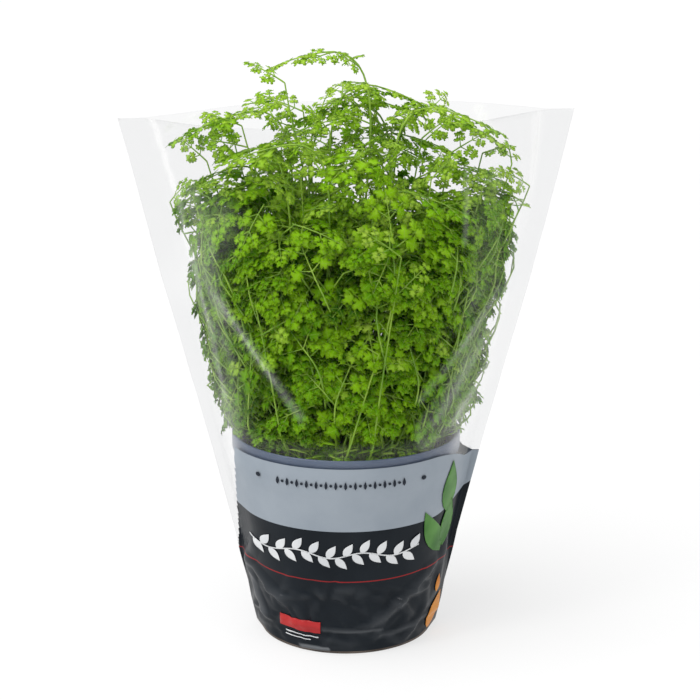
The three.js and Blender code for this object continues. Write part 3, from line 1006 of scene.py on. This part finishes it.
def crown_height(draw, turn, share):
    """Under the crown's outline, lower at the back and the front than in the middle."""
    limit, = between_rows(CROWN_LINE, share * CROWN_HALF_WIDTH * cos(turn))
    fall = CROWN_FALL * (share * sin(turn)) ** 2
    return limit - fall - 4 - CROWN_DEPTH * draw(0, 1)


# painted light: the crown fronds get a lighter tone, as they stand in the light over the plant
LAYERS["crown_fronds"] = crowd(907, 46, crown_height, (0.05, 0.95), (40, 78), (24, 36), 0.12)
PIECE_FRONDS = 100  # the most fronds that one piece has
for title, forms in LAYERS.items():
    for start in range(0, len(forms), PIECE_FRONDS):
        frond_piece(f"{title}_{start // PIECE_FRONDS + 1}", forms[start:start + PIECE_FRONDS])

# %% [markdown]
# ## The tall sprigs
# The oldest stems stand out of the crown and end in loose, feathery sprigs. Each stem rises from the peat,
# leans a little, and carries young fronds by turns on both sides near its tip, the smallest at the top.

# %% Tall sprigs
# x and y of the foot, then x, y and height of the tip, and how many fronds
SPRIGS = [
    (6, -14, -30, -16, 290, 9),
    (-2, -6, -52, -8, 268, 6),
    (-20, 10, -70, -6, 250, 6),
    (-16, 4, -58, 14, 260, 6),
    (-6, 20, -22, 22, 272, 7),
    (-4, -10, -8, -14, 266, 7),
    (4, 0, 8, -10, 256, 6),
    (14, 12, 24, 12, 270, 7),
    (10, -4, 38, -10, 262, 7),
    (22, -8, 53, -4, 254, 6),
    (28, 6, 70, 10, 252, 6),
    (34, -4, 84, -2, 248, 6),
    (36, 8, 94, 4, 236, 5),
    (32, -16, 87, -12, 226, 5),
    (-34, -6, -90, 2, 228, 5),
    (-30, -12, -76, -16, 232, 5),
    (10, -22, 16, -38, 244, 5),
    (18, 24, 42, 34, 256, 5),
    (-14, -20, -22, -34, 248, 5),
    (24, -20, 42, -28, 244, 5),
    (30, -14, 68, -18, 238, 5),
]
SPRIG_GAP = 0.07  # of the stem between two fronds
YOUNG_TURNS = (0, 45, -45, 90, -90, 135, -135)
YOUNG_LIMIT = 306  # no young frond's middle is higher
YOUNG_TONE = 0.70
STEM_STEPS = 16


def young_form(place, rib, length, gap, seed, draw):
    """A frond on a stem that faces up and to the light in front, turned round the stem until it fits."""
    light = Vector((place.x / 60, place.y / 30 - 1.4, 0)).normalized() + draw(0.9, 1.7) * UP
    twist = draw(-0.35, 0.35)
    tone = YOUNG_TONE + draw(-0.12, 0.12)
    for turn in YOUNG_TURNS:
        way = Quaternion(UP, radians(turn)) @ rib
        face = Quaternion(way, twist) @ (light - way * light.dot(way)).normalized()
        middle = place + (gap + length / 2) * way
        form = {"start": place, "sprout": way, "middle": middle, "face": face, "rib": way, "length": length,
                "thick": YOUNG_STALK_RADIUS, "seed": seed, "tone": tone, "fullness": YOUNG_FULLNESS}
        if blade_inside(form) and middle.z < YOUNG_LIMIT:
            return form
    return None


def sprig(foot_x, foot_y, x, y, top, fronds, seed):
    """A stem's points and the forms of the fronds that it carries."""
    draw = seeded_draws(seed)
    foot, tip = Vector((foot_x, foot_y, SOIL_TOP - 3)), Vector((x, y, top))
    rise = top - foot.z
    lean = (tip - foot).normalized()
    controls = (foot, foot + 0.4 * rise * UP, tip - 0.3 * rise * (lean + 0.25 * UP).normalized(), tip)
    forms = []
    for i in range(fronds):
        azimuth = radians(180 * i + draw(-60, 60)) if i else atan2(lean.y, lean.x)
        rib = direction(azimuth, radians(draw(2, 34) if i else draw(20, 50)))
        place, length = bezier(controls, 1 - SPRIG_GAP * i), draw(17, 22) + 2.4 * i
        forms.append(young_form(place, rib, length, 1.5 + 1.1 * i, seed + 5 * i, draw))
    return [bezier(controls, step / STEM_STEPS) for step in range(STEM_STEPS + 1)], forms


def stems_piece(name, grown, steps):
    """One piece of stems, each given as its points and the forms of its fronds."""
    forms = [form for _, forms in grown for form in forms if form]
    frond_piece(name, forms, steps=steps, stems=[points for points, _ in grown])


stems_piece("tall_sprigs", [sprig(*numbers, 2003 + 41 * i) for i, numbers in enumerate(SPRIGS)], 3)

# %% Stems that lean on the film
LEANING_STEMS = 13
LEANING_STEPS = 12
LEANING_SHARE = 0.93  # of the way to the film, or to the pot's rim


def leaning_stem(turn, sway, top, draw):
    """A stem's points, from the peat up along the film, and the forms of the three fronds near its tip."""
    stem = []
    for step in range(LEANING_STEPS + 1):
        height = SOIL_TOP - 2 + (top - SOIL_TOP + 2) * step / LEANING_STEPS
        azimuth = turn + sway * step / LEANING_STEPS
        room = min(reach(azimuth, height), RIM_RADIUS - 4 + max(0, height - POT_TOP))
        stem.append(around(LEANING_SHARE * room, azimuth, height))
    forms = []
    for i, point in enumerate((stem[-1], stem[-3], stem[-5])):
        side = Vector((-sin(turn), cos(turn), 0)) * (1 if i % 2 else -1)
        rib = (draw(0.5, 1) * side + draw(0.4, 1) * UP - draw(0, 0.3) * level(point)).normalized()
        forms.append(young_form(point, rib, draw(22, 30), 2.5, int(draw(100, 900)), draw))
    return stem, forms


draw = seeded_draws(419)
stems_piece("leaning_stems", [
    leaning_stem(2 * pi * (i + draw(0, 0.8)) / LEANING_STEMS, draw(-0.6, 0.6), draw(160, 222), draw)
    for i in range(LEANING_STEMS)
], 2)


# %% Young fronds on the arching stalks of the crown
def side_form(parent, share, side, draw):
    """A small frond on a stalk, on one side of it."""
    place = stalk_point(parent, share)
    run = (stalk_point(parent, share + 0.01) - place).normalized()
    aside = side * run.cross(UP).normalized()
    rib = (aside + draw(0.2, 0.7) * run + draw(-0.3, 0.5) * UP).normalized()
    return young_form(place, rib, draw(15, 22), 2, int(draw(100, 900)), draw)


# how high a stalk's blade has to be, and the fronds on it: share of the stalk, and side
YOUNG_PLACES = [
    (CANOPY_SHOULDER, [(0.72, 1), (0.82, -1), (0.91, 1)]),
    (CANOPY_CROWN - 6, [(0.64, -1), (0.76, -1), (0.86, 1), (0.95, -1)]),
]
draw = seeded_draws(311)
young_forms = []
for lowest, places in YOUNG_PLACES:
    parents = [form for form in seedling_forms if form["middle"].z > lowest]
    young_forms += [side_form(form, share, side, draw) for form in parents for share, side in places]
frond_piece("young_fronds", list(filter(None, young_forms)), steps=2)

# %% Low leaves over the rim
frond_piece("low_fronds", crowd(1201, 80, between(106, 126), (0.6, 0.97), (20, 80), (11, 21), 0.2))

# %% [markdown]
# ## Seed leaves
# Under the fronds the pot is full of seedlings that never grew up. Their seed leaves are plain, long and
# narrow, and cross each other in every direction just over the peat.

# %% Seed leaves
SEED_RIB = [(0.0, 0.0), (0.35, 0.0), (0.7, 0.0), (1.0, 0.0)]
SEED_RIM = [[(0.06, 0.03)], [(0.3, 0.075)], [(0.72, 0.06)]]
SEED_LEAF = leaflet_template("seed leaf", 0.5, 0.2, SEED_RIB, SEED_RIM)
SEED_LEAVES = 420
SEED_CIRCLE = 56


def seed_leaf_place(draw):
    """Whether a drawn leaf lies inside the rim and the film, and its place over the peat."""
    radius, turn = SEED_CIRCLE * sqrt(draw(0.12, 1)), draw(0, 2 * pi)
    foot = around(radius, turn, draw(SOIL_TOP + 1, SOIL_TOP + 18))
    run = direction(turn + draw(-1.6, 1.6), draw(-0.1, 0.9))
    length = draw(8, 17)
    side = UP.cross(run).normalized()
    turned = Matrix((run, side, run.cross(side))).transposed()
    turned = turned @ Quaternion((1, 0, 0), draw(-0.9, 0.9)).to_matrix()
    tip = foot + length * run
    inside = tip.xy.length < RIM_RADIUS - 2 if tip.z < POT_TOP + 2 else inside_film(tip, 2)
    return inside, Matrix.Translation(foot) @ turned.to_4x4() @ Matrix.Scale(length, 4)


draw = seeded_draws(61)
seed_bm = foliage_bmesh()
placed = 0
while placed < SEED_LEAVES:
    inside, place = seed_leaf_place(draw)
    if inside:
        add_leaf(seed_bm, SEED_LEAF, place, draw(0.4, 0.9))
        placed += 1
finish_piece(seed_bm, "seed_leaves", [leaf_green])

# %% [markdown]
# ## Folds in the film
# Film is stiff for its thickness: it stays flat between sharp folds, and each fold throws its own glint. A
# fold is written as a line on the sheet, seen square on, with a width and a height, and its section is a
# tent with a rounded crest. The large ones are listed. Small ones, at the crumpled foot and over both
# sheets, are seeded draws.

# %% The list of folds
# start x and height, end x and height, half width, how far it stands out
FRONT_FOLDS = [
    (-64, 190, -19, 128, 4.5, 1.5),
    (-94, 238, -60, 186, 8, 1.6),
    (-96, 205, -58, 150, 6, -1.0),
    (27, 128, 76, 186, 3.5, 1.6),
    (52, 122, 88, 168, 5, 1.3),
    (40, 108, 66, 128, 4, -1.2),
    (-58, 274, -50, 210, 7, 0.9),
    (-80, 274, -70, 236, 5, 1.0),
    (30, 276, 36, 226, 8, 1.1),
    (52, 276, 60, 214, 6, 1.0),
    (74, 276, 78, 232, 5, -0.8),
    (84, 277, 82, 190, 3.5, 1.0),
    (-84, 274, -86, 200, 3.5, 0.9),
    (-60, 92, 60, 92, 1.6, 0.35),
    (-55, 42, -28, 24, 4.0, 2.5),
    (-52, 36, -41, 10, 3.0, 2.3),
    (-47, 56, -54, 28, 3.5, 1.9),
    (-26, 16, 12, 13.0, 1.6, 1.5),
    (-12, 9, 6, 5.5, 2.2, 1.5),
    (-8, 31, 6, 22, 4.5, -1.4),
    (0, 26, 14, 17, 3.2, -1.8),
    (50, 44, 8, 13, 4.0, 2.4),
    (53, 55, 47, 20, 3.0, 2.2),
    (30, 34, 40, 12, 3.0, -1.6),
    (14, 10, 44, 12, 2.2, 1.0),
    (-8, 38, 24, 32, 5.0, 1.2),
]
FLAT_TOP = 0.25  # share of a fold's half width that its rounded crest takes


def beside_line(x, height, x0, z0, x1, z1):
    """How far along a line a point lies, between 0 and 1, and how far it is from the line."""
    run_x, run_z = x1 - x0, z1 - z0
    along = held(((x - x0) * run_x + (height - z0) * run_z) / (run_x * run_x + run_z * run_z))
    return along, hypot(x - x0 - along * run_x, height - z0 - along * run_z)


def fold_lift(x, height, folds):
    """How far all folds together lift the film at a point."""
    lift = 0.0
    for x0, z0, x1, z1, width, rise in folds:
        if min(z0, z1) - width < height < max(z0, z1) + width:
            along, apart = beside_line(x, height, x0, z0, x1, z1)
            if apart < width:
                tent = 1 - hypot(apart / width, FLAT_TOP) / hypot(1, FLAT_TOP)
                lift += rise * tent * min(1.0, 4 * min(along, 1 - along) + 0.25)
    return lift


def drawn_folds(seed, count, low, high, half_width, length, width, rise):
    """Folds in drawn places and directions between two heights."""
    draw = seeded_draws(seed)
    folds = []
    for _ in range(count):
        x, z = draw(-half_width, half_width), draw(low, high)
        turn, half = draw(0, pi), draw(0.4, 1) * length / 2
        run_x, run_z = half * cos(turn), half * sin(turn)
        sign = 1 if draw(0, 1) < 0.6 else -1
        ends = (x - run_x, z - run_z, x + run_x, z + run_z)
        folds.append((*ends, width * draw(0.6, 1.3), sign * rise * draw(0.4, 1)))
    return folds


FRONT = FRONT_FOLDS + drawn_folds(19, 80, 2, 38, 52, 26, 2.3, 1.3)
FRONT += drawn_folds(5, 16, 130, 268, 76, 50, 6, 0.5)
BACK = drawn_folds(31, 80, 2, 44, 52, 28, 2.8, 1.0) + drawn_folds(43, 26, 110, 268, 76, 60, 6, 0.9)
BACK += [(-66, 150, -22, 108, 5, 1.3), (24, 112, 70, 170, 5, 1.4)]
BACK += [(-30, 276, -36, 215, 7, 1.0), (44, 276, 40, 200, 7, 1.0)]
print(len(FRONT), "folds in front,", len(BACK), "behind")

# %% [markdown]
# ## The film as one skin
# A floor face is made at the foot, its rim is extruded upwards ring by ring, and each new ring is moved to
# its place on the eye-shaped section, with the folds added. Rings lie closer where the foot is crumpled,
# and a ring lies on every edge of the print, so that each printed colour has its own faces. Solidify gives
# the film its thickness.

# %% Rings and columns
FIN_COLUMNS = 4
FLAT_COLUMNS = 12
ROUND_COLUMNS = 92
FIN_HALF = 0.45  # half the thickness of the side weld
FIN_BEND = radians(78)  # how far the weld is turned against the pot at the foot
BEND_TOP, BEND_SPAN = 48, 26  # where the weld starts to turn, and over what height
STIFF_COLUMNS = 5  # folds fade out towards the weld over these columns,
STIFF_FOOT = 2.5  # and towards the foot over this height
DEEPEST = -0.8  # no fold goes further in, so the pot and the leaves stay behind the film
MOUTH_WAVE, WAVE_FOOT = 1.3, 190  # the mouth waves in and out, from this height up
TILT_FOOT = 235  # the mouth tilts from this height up
WELD_SWAY = 0.5
GATHER_X, GATHER_SPAN = 44, 20  # the gathered print starts at this x and is full after this span
GATHER_MIDDLE, GATHER_HALF = 72, 36  # where the gathered print climbs most, and half its wave
GATHER_CLIMB = 9
RUBBED_AND_GLINT = 0.014  # painted highlight with rubbed ink: whiteness of the printed crests, for each millimetre of their height
HEM_TOP = 1.6
RED_LINE = 41.5
RED_TOP = RED_LINE + 0.6
SILVER_FOOT = 70.5
SILVER_TOP = 105
BANDS = [  # where a band of rings starts and ends, and the step between its rings
    (HEM_TOP, RED_LINE, 1.3),
    (RED_LINE, RED_TOP, 0.6),
    (RED_TOP, SILVER_FOOT, 1.7),
    (SILVER_FOOT, SILVER_TOP, 2.2),
    (SILVER_TOP, MOUTH, 3.4),
]

RING_HEIGHTS = [0.0, 0.4, 0.9]
for low, high, step in BANDS:
    count = max(1, round((high - low) / step))
    RING_HEIGHTS += [low + (high - low) * i / count for i in range(count)]
RING_HEIGHTS.append(MOUTH)


def sheet_section(height):
    """A ring of both sheets, counter-clockwise from the weld's edge at +X: the back, then the front."""
    edge, parting, wide, deep = ring_at(height)
    leave = acos(wide / parting)
    bent = FIN_BEND * held((BEND_TOP - height) / BEND_SPAN)
    along = Vector((cos(bent), sin(bent))) * (edge - parting) / FIN_COLUMNS
    across = 2 * FIN_HALF * Vector((sin(bent), -cos(bent)))
    turns = [leave + (pi - 2 * leave) * i / ROUND_COLUMNS for i in range(ROUND_COLUMNS + 1)]
    sheets = []
    for side in (1, -1):
        start = Vector((parting, FIN_HALF)) + (across if side < 0 else Vector((0, 0)))
        round_part = [Vector((wide * cos(turn), side * deep * sin(turn))) for turn in turns]
        half = [start + (FIN_COLUMNS - i) * along for i in range(FIN_COLUMNS)]
        half += [start + (round_part[0] - start) * i / FLAT_COLUMNS for i in range(FLAT_COLUMNS)]
        sheets.append(half + round_part + [Vector((-p.x, p.y)) for p in reversed(half)])
    return sheets[0] + sheets[1][::-1]


def print_shift(x, height):
    """The print climbs at the right, where the sheet was gathered round the pot before it was opened."""
    off = height - GATHER_MIDDLE
    wave = cos(pi * off / GATHER_HALF) if -GATHER_HALF / 2 < off < 1.5 * GATHER_HALF else 0.0
    return GATHER_CLIMB * held((x - GATHER_X) / GATHER_SPAN) ** 2 * wave


def above(height, foot):
    """How far a height is from a foot up to the mouth, between 0 and 1."""
    return max(0.0, (height - foot) / (MOUTH - foot))


def skin_point(section, column, height):
    """A point of the film's outer skin: on the section, then lifted by the folds square to the section."""
    per_sheet = len(section) // 2
    front = column >= per_sheet
    first = per_sheet if front else 0
    place = column - first
    before, after = section[first + max(place - 1, 0)], section[first + min(place + 1, per_sheet - 1)]
    run = (after - before).normalized()
    normal = Vector((run.y, -run.x))  # outward, as the ring runs counter-clockwise
    point = section[column]
    to_weld = min(place, per_sheet - 1 - place) - FIN_COLUMNS
    if to_weld < 0:
        lift = WELD_SWAY * sin(height / 17 + point.x / 23) * min(1.0, height / 60)
    else:
        lift = max(fold_lift(point.x, height, FRONT if front else BACK), DEEPEST)
        lift += MOUTH_WAVE * sin(point.x / 11 + (2 if front else 0)) * above(height, WAVE_FOOT) ** 2
        lift *= min(1.0, to_weld / STIFF_COLUMNS) * min(1.0, height / STIFF_FOOT)
    climb = print_shift(point.x, height)
    point = point * ring_at(height + climb)[0] / ring_at(height)[0]
    tilt = MOUTH_TILT * point.x * above(height, TILT_FOOT)
    return Vector((*(point + normal * lift), height + climb + tilt))


# %% [markdown]
# ## Where the film is milky, and where its glints are painted
# Where it was folded or rubbed, clear film turns white, and the glints and reflections of light on its
# folds, creases and welds are painted as white too. Those places are bands on the sheet, given by a middle
# line, a half width, a soft edge and how white they are, and they go to the film's vertices as an
# attribute of milk and glints.

# %% Milky bands
# start x and height, end x and height, half width, soft edge, whiteness
# Most bands are painted glints and reflections on folds, creases and welds; a few faint ones, such as the one
# over the rim, are haze.
FRONT_MILK_AND_GLINTS = [
    (-62, 186, -22, 131, 3.4, 3.2, 0.055),
    (-60, 183, -34, 147, 0.8, 0.7, 0.11),
    (-88, 186, -60, 226, 16, 14, 0.03),
    (-76, 236, -62, 178, 7, 5, 0.05),
    (48, 120, 96, 176, 15, 3, 0.03),
    (36, 138, 78, 187, 1.8, 1.2, 0.05),
    (44, 124, 76, 166, 3.2, 2.4, 0.045),
    (57, 250, 58, 216, 2.0, 1.8, 0.05),
    (-97, 274, -85, 238, 1.8, 1.4, 0.17),
    (99, 276, 93, 238, 1.8, 1.4, 0.17),
    (94, 270, 88, 232, 1.4, 1.2, 0.10),
    (-84, 238, -62, 132, 2.0, 1.6, 0.10),
    (93, 238, 70, 128, 2.0, 1.6, 0.10),
    (-62, 132, -58, 98, 5, 4, 0.07),
    (60, 128, 58, 104, 5, 4, 0.06),
    (-58, 113, 58, 113, 6, 5, 0.02),
    (-54, 41, -42, 14, 2.2, 2.2, 0.06),
    (-12, 13.5, 18, 13.0, 1.4, 1.3, 0.07),
    (14, 16, 46, 36, 2.4, 2.4, 0.035),
    (18, 9, 42, 12, 2.0, 2.0, 0.05),
    (-23, 2.3, -9, 2.4, 1.0, 0.9, 0.4),
]
BACK_MILK_AND_GLINTS = [
    (52, 273, 61, 256, 1.8, 1.5, 0.16),
    (69, 271, 77, 257, 2.6, 2.0, 0.14),
    (-91, 267, -70, 272, 1.7, 1.4, 0.15),
    (-54, 273, -57, 261, 1.5, 1.3, 0.12),
    (30, 120, 80, 200, 12, 8, 0.03),
    (-80, 210, -40, 150, 9, 7, 0.03),
]


def milk_and_glint_share(x, height, bands):
    """How white the film is at a point, between 0 and 1, from milkiness and painted glints."""
    milk_and_glint = 0.0
    for x0, z0, x1, z1, width, soft, white in bands:
        _, apart = beside_line(x, height, x0, z0, x1, z1)
        milk_and_glint += white * held((width - apart) / soft)
    return min(milk_and_glint, 1.0)


# %% [markdown]
# ## Film and print
# Clear film lets nearly all light straight through. Seen square on it mirrors hardly anything, and at a
# slant it mirrors the room. So a Transparent shader is mixed with a Glossy one by how far the film turns
# away, and with a little white where it is milky and where glints are painted on it. Layer Weight's
# Facing is the same from both sides of the film, where Fresnel would turn the inner wall into a mirror.
# The print is opaque ink on the same film: silver with a dull sheen, glossy charcoal, a red rule, and a
# dark hem at the foot. Its crests and creases are paler, partly rubbed ink and partly a painted highlight.

# %% Film materials
FILM_TINT = (0.9635, 0.9645, 0.9655, 1)
MILK_AND_GLINT_TINT = (0.995, 0.995, 0.995)

clear_film = Look("clear film")
milk_and_glint = clear_film.attribute("milk_and_glint")
tint = clear_film.blend(clear_film.rescale(milk_and_glint, 0.0, 0.08), FILM_TINT, MILK_AND_GLINT_TINT)
through = clear_film.node("BsdfTransparent", Color=tint)
mirror = clear_film.node("BsdfGlossy", Color=WHITE, Roughness=0.12)
facing = clear_film.node("LayerWeight", "Facing", Blend=0.5)
glance = clear_film.rescale(clear_film.calculate("POWER", facing, 5.0), 0.0, 1.0, 0.001, 0.7)
gloss = clear_film.mix(glance, through, mirror)
# painted glints: white diffuse light where the film is milky and where glints are painted on its folds and
# welds
haze_and_glint = clear_film.node("BsdfDiffuse", Color=(0.95, 0.95, 0.95, 1))
streaks = clear_film.rescale(clear_film.noise(60, 3, (1, 1, 0.35)), 0.3, 0.7, 0.45, 1.25)
clear_film.show(clear_film.mix(clear_film.calculate("MULTIPLY", milk_and_glint, streaks), gloss, haze_and_glint))


def ink(name, dark, light, roughness):
    """A printed colour with faint clouds, paler on rubbed crests and under painted highlights, under the gloss.
    """
    look = Look(name)
    clouded = look.ramp(look.noise(45, 3), (0.3, dark), (0.7, light))
    # painted highlight: the ink is paled on crests and creases, partly as rubbed ink
    colour = look.blend(look.attribute("milk_and_glint"), clouded, (0.75, 0.78, 0.82))
    crinkle = look.bump(look.noise(420, 3), 0.2, 0.0003)
    look.show(look.surface(
        colour, roughness, Normal=crinkle, Specular_IOR_Level=0.02, Coat_Weight=0.14, Coat_Roughness=0.1))
    return look


silver_ink = ink("silver ink", (0.275, 0.315, 0.36), (0.315, 0.355, 0.40), 0.42)
charcoal_ink = ink("charcoal ink", (0.008, 0.011, 0.015), (0.013, 0.017, 0.022), 0.3)
red_ink = ink("red ink", (0.22, 0.016, 0.018), (0.30, 0.022, 0.022), 0.4)
hem_film = ink("foot hem", (0.03, 0.024, 0.02), (0.16, 0.13, 0.11), 0.3)
FILM_LOOKS = [clear_film, silver_ink, charcoal_ink, red_ink, hem_film]
CLEAR, SILVER, CHARCOAL, RED, HEM = range(len(FILM_LOOKS))
PRINT = [(RED_LINE, CHARCOAL), (RED_TOP, RED), (SILVER_FOOT, CHARCOAL), (SILVER_TOP, SILVER)]
BARE_LEFT = -57.5  # beyond this the weld carries no ink


def printed_look(x, height):
    """Which look a face of the film has, by its middle and the ring at its foot."""
    if height < HEM_TOP - 0.2:
        return HEM
    if x >= BARE_LEFT:
        for top, look in PRINT:
            if height < top - 0.01:
                return look
    return CLEAR


# %% Extrude the film
FLOOR_SHARE = 0.985  # the floor's rim is drawn in to this share of the section at the foot

film_bm = bmesh.new()
column_of = film_bm.verts.layers.int.new("column")
milk_and_glint_of = film_bm.verts.layers.float.new("milk_and_glint")
section = sheet_section(0)
ring = []
for column in range(len(section)):
    vert = film_bm.verts.new(FLOOR_SHARE * skin_point(section, column, 0))
    vert.co.z = 0
    vert[column_of] = column
    ring.append(vert)
base = film_bm.faces.new(ring)
base.material_index = HEM
edges = base.edges[:]
for low, height in zip(RING_HEIGHTS, RING_HEIGHTS[1:]):
    section = sheet_section(height)
    grown = bmesh.ops.extrude_edge_only(film_bm, edges=edges)["geom"]
    new_verts = {item for item in grown if isinstance(item, bmesh.types.BMVert)}
    new_faces = [item for item in grown if isinstance(item, bmesh.types.BMFace)]
    edges = [
        item for item in grown if isinstance(item, bmesh.types.BMEdge) and new_verts.issuperset(item.verts)]
    for vert in new_verts:
        x = section[vert[column_of]].x
        vert.co = skin_point(section, vert[column_of], height)
        behind = vert[column_of] < len(section) // 2
        vert[milk_and_glint_of] = milk_and_glint_share(x, height, BACK_MILK_AND_GLINTS if behind else FRONT_MILK_AND_GLINTS)
        # painted highlight, with rubbed ink: printed crests are made paler by how far they stand out
        if height < SILVER_FOOT:
            vert[milk_and_glint_of] += RUBBED_AND_GLINT * max(0.0, fold_lift(x, height, BACK if behind else FRONT))
    for face in new_faces:
        face.material_index = printed_look(face.calc_center_median().x, low)
bmesh.ops.recalc_face_normals(film_bm, faces=film_bm.faces)
print("film:", len(RING_HEIGHTS), "rings,", len(film_bm.faces), "faces")
film_tree = BVHTree.FromBMesh(film_bm)
FILM_THICKNESS = 0.2
thicken(finish_piece(film_bm, "film_sleeve", FILM_LOOKS, ["sleeve"]), FILM_THICKNESS, -1)

# %% [markdown]
# ## Printed ornaments
# Ornaments are thin patches of ink. Each outline is drawn flat, as seen square on from the front, cut into
# small squares so that it can bend, and every point is then dropped onto the film behind it.

# %% Patches of ink
INK_HEIGHT = 0.5  # above the film
INK_THICKNESS = 0.08
GRID = 0.9


def ornament(name, outlines, ink_look):
    """One piece of all outlines, each a list of (x, height) points, clockwise or not."""
    bm = bmesh.new()
    for outline in outlines:
        patch = bm.faces.new([bm.verts.new((x, 0, z)) for x, z in outline])
        patch.normal_update()
        if patch.normal.y > 0:
            patch.normal_flip()
    for axis in (Vector((1, 0, 0)), UP):
        places = [vert.co.dot(axis) for vert in bm.verts]
        step = ceil(min(places) / GRID)
        while step * GRID < max(places):
            bmesh.ops.bisect_plane(
                bm, geom=bm.verts[:] + bm.edges[:] + bm.faces[:], plane_co=step * GRID * axis, plane_no=axis)
            step += 1
    for vert in bm.verts:
        hit, normal, _, _ = film_tree.ray_cast(Vector((vert.co.x, -200, vert.co.z)), Vector((0, 1, 0)))
        vert.co = hit + INK_HEIGHT * normal
    thicken(finish_piece(bm, name, [ink_look]), INK_THICKNESS, 0)


def leaf_outline(x, z, heading, length, width, points=7):
    """A pointed leaf from its stalk's end at x, z."""
    way = radians(heading)
    run, side = (cos(way), sin(way)), (-sin(way), cos(way))
    shares = [i / points for i in range(points + 1)]
    halves = [(share, width / 2 * sin(pi * share ** 0.8)) for share in shares]
    rim = halves + [(share, -half) for share, half in reversed(halves[1:-1])]
    return [(x + length * a * run[0] + b * side[0], z + length * a * run[1] + b * side[1]) for a, b in rim]


def disc_outline(x, z, radius, points=12):
    turns = [2 * pi * i / points for i in range(points)]
    return [(x + radius * cos(turn), z + radius * sin(turn)) for turn in turns]


def box_outline(x0, z0, x1, z1):
    return [(x0, z0), (x1, z0), (x1, z1), (x0, z1)]


# %% Ornaments on the sleeve
white_ink = ink("white ink", (0.62, 0.64, 0.66), (0.74, 0.75, 0.76), 0.4)
dark_ink = ink("dark ink", (0.016, 0.02, 0.03), (0.02, 0.026, 0.036), 0.4)
herb_ink = ink("herb green ink", (0.045, 0.14, 0.03), (0.12, 0.29, 0.07), 0.4)
label_ink = ink("label red ink", (0.38, 0.028, 0.03), (0.48, 0.04, 0.04), 0.4)
orange_ink = ink("orange ink", (0.55, 0.17, 0.04), (0.70, 0.32, 0.06), 0.4)
GARLAND_ENDS = (-50, 37)
GARLAND_LEAVES = 20
STEM_HALF = 0.35  # half the breadth of the garland's stem
ROW_ENDS = (-34, 29)
ROW_HEIGHT = 96.5
ROW_MARKS = 27


def garland_height(x):
    """The garland's stem waves along the charcoal."""
    return 57 + 1.6 * sin(x / 5.2)


def garland():
    """The stem in short pieces, and leaves on both its sides by turns."""
    low, high = GARLAND_ENDS
    wave = [(x, garland_height(x)) for x in range(low, high + 1)]
    outlines = [[(x, z - STEM_HALF), (x2, z2 - STEM_HALF), (x2, z2 + STEM_HALF), (x, z + STEM_HALF)]
                for (x, z), (x2, z2) in zip(wave, wave[1:])]
    for i in range(GARLAND_LEAVES):
        x = low + 2 + (high - low - 6) * i / (GARLAND_LEAVES - 1)
        outlines.append(leaf_outline(x, garland_height(x), 58 if i % 2 else -46, 8.6, 4.2))
    return outlines


def row_of_marks():
    """Discs and short upright leaves by turns, with a larger disc beyond each end."""
    low, high = ROW_ENDS
    marks = [disc_outline(-44, 96.8, 1.15), disc_outline(39, 96.5, 1.15)]
    for i in range(ROW_MARKS):
        x = low + (high - low) * i / (ROW_MARKS - 1)
        leaf = leaf_outline(x, ROW_HEIGHT - 2.2, 90, 4.4, 1.5, 4)
        marks.append(disc_outline(x, ROW_HEIGHT, 0.75, 8) if i % 2 else leaf)
    return marks


ornament("garland", garland(), white_ink)
ornament("row_of_marks", row_of_marks(), dark_ink)
ornament("red_label", [box_outline(-34, 11.5, -13, 18.0)], label_ink)
ornament("label_lines", [box_outline(-31, 9.0, -14, 9.6), box_outline(-31, 7.0, -18, 7.5)], white_ink)
ornament("printed_leaves", [
    leaf_outline(48.5, 47, 106, 30, 9),
    leaf_outline(50, 49, 80, 28, 7),
    leaf_outline(52, 69, 84, 30, 8),
], herb_ink)
ornament("printed_flame", [
    leaf_outline(42.5, 2.5, 66, 19, 6.5),
    leaf_outline(47.5, 22, 82, 11, 2.4),
], orange_ink)

# %% Write the sizes and finish
lowest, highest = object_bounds()
print("visual box in mm:", [round(c / MM, 1) for c in lowest], [round(c / MM, 1) for c in highest])
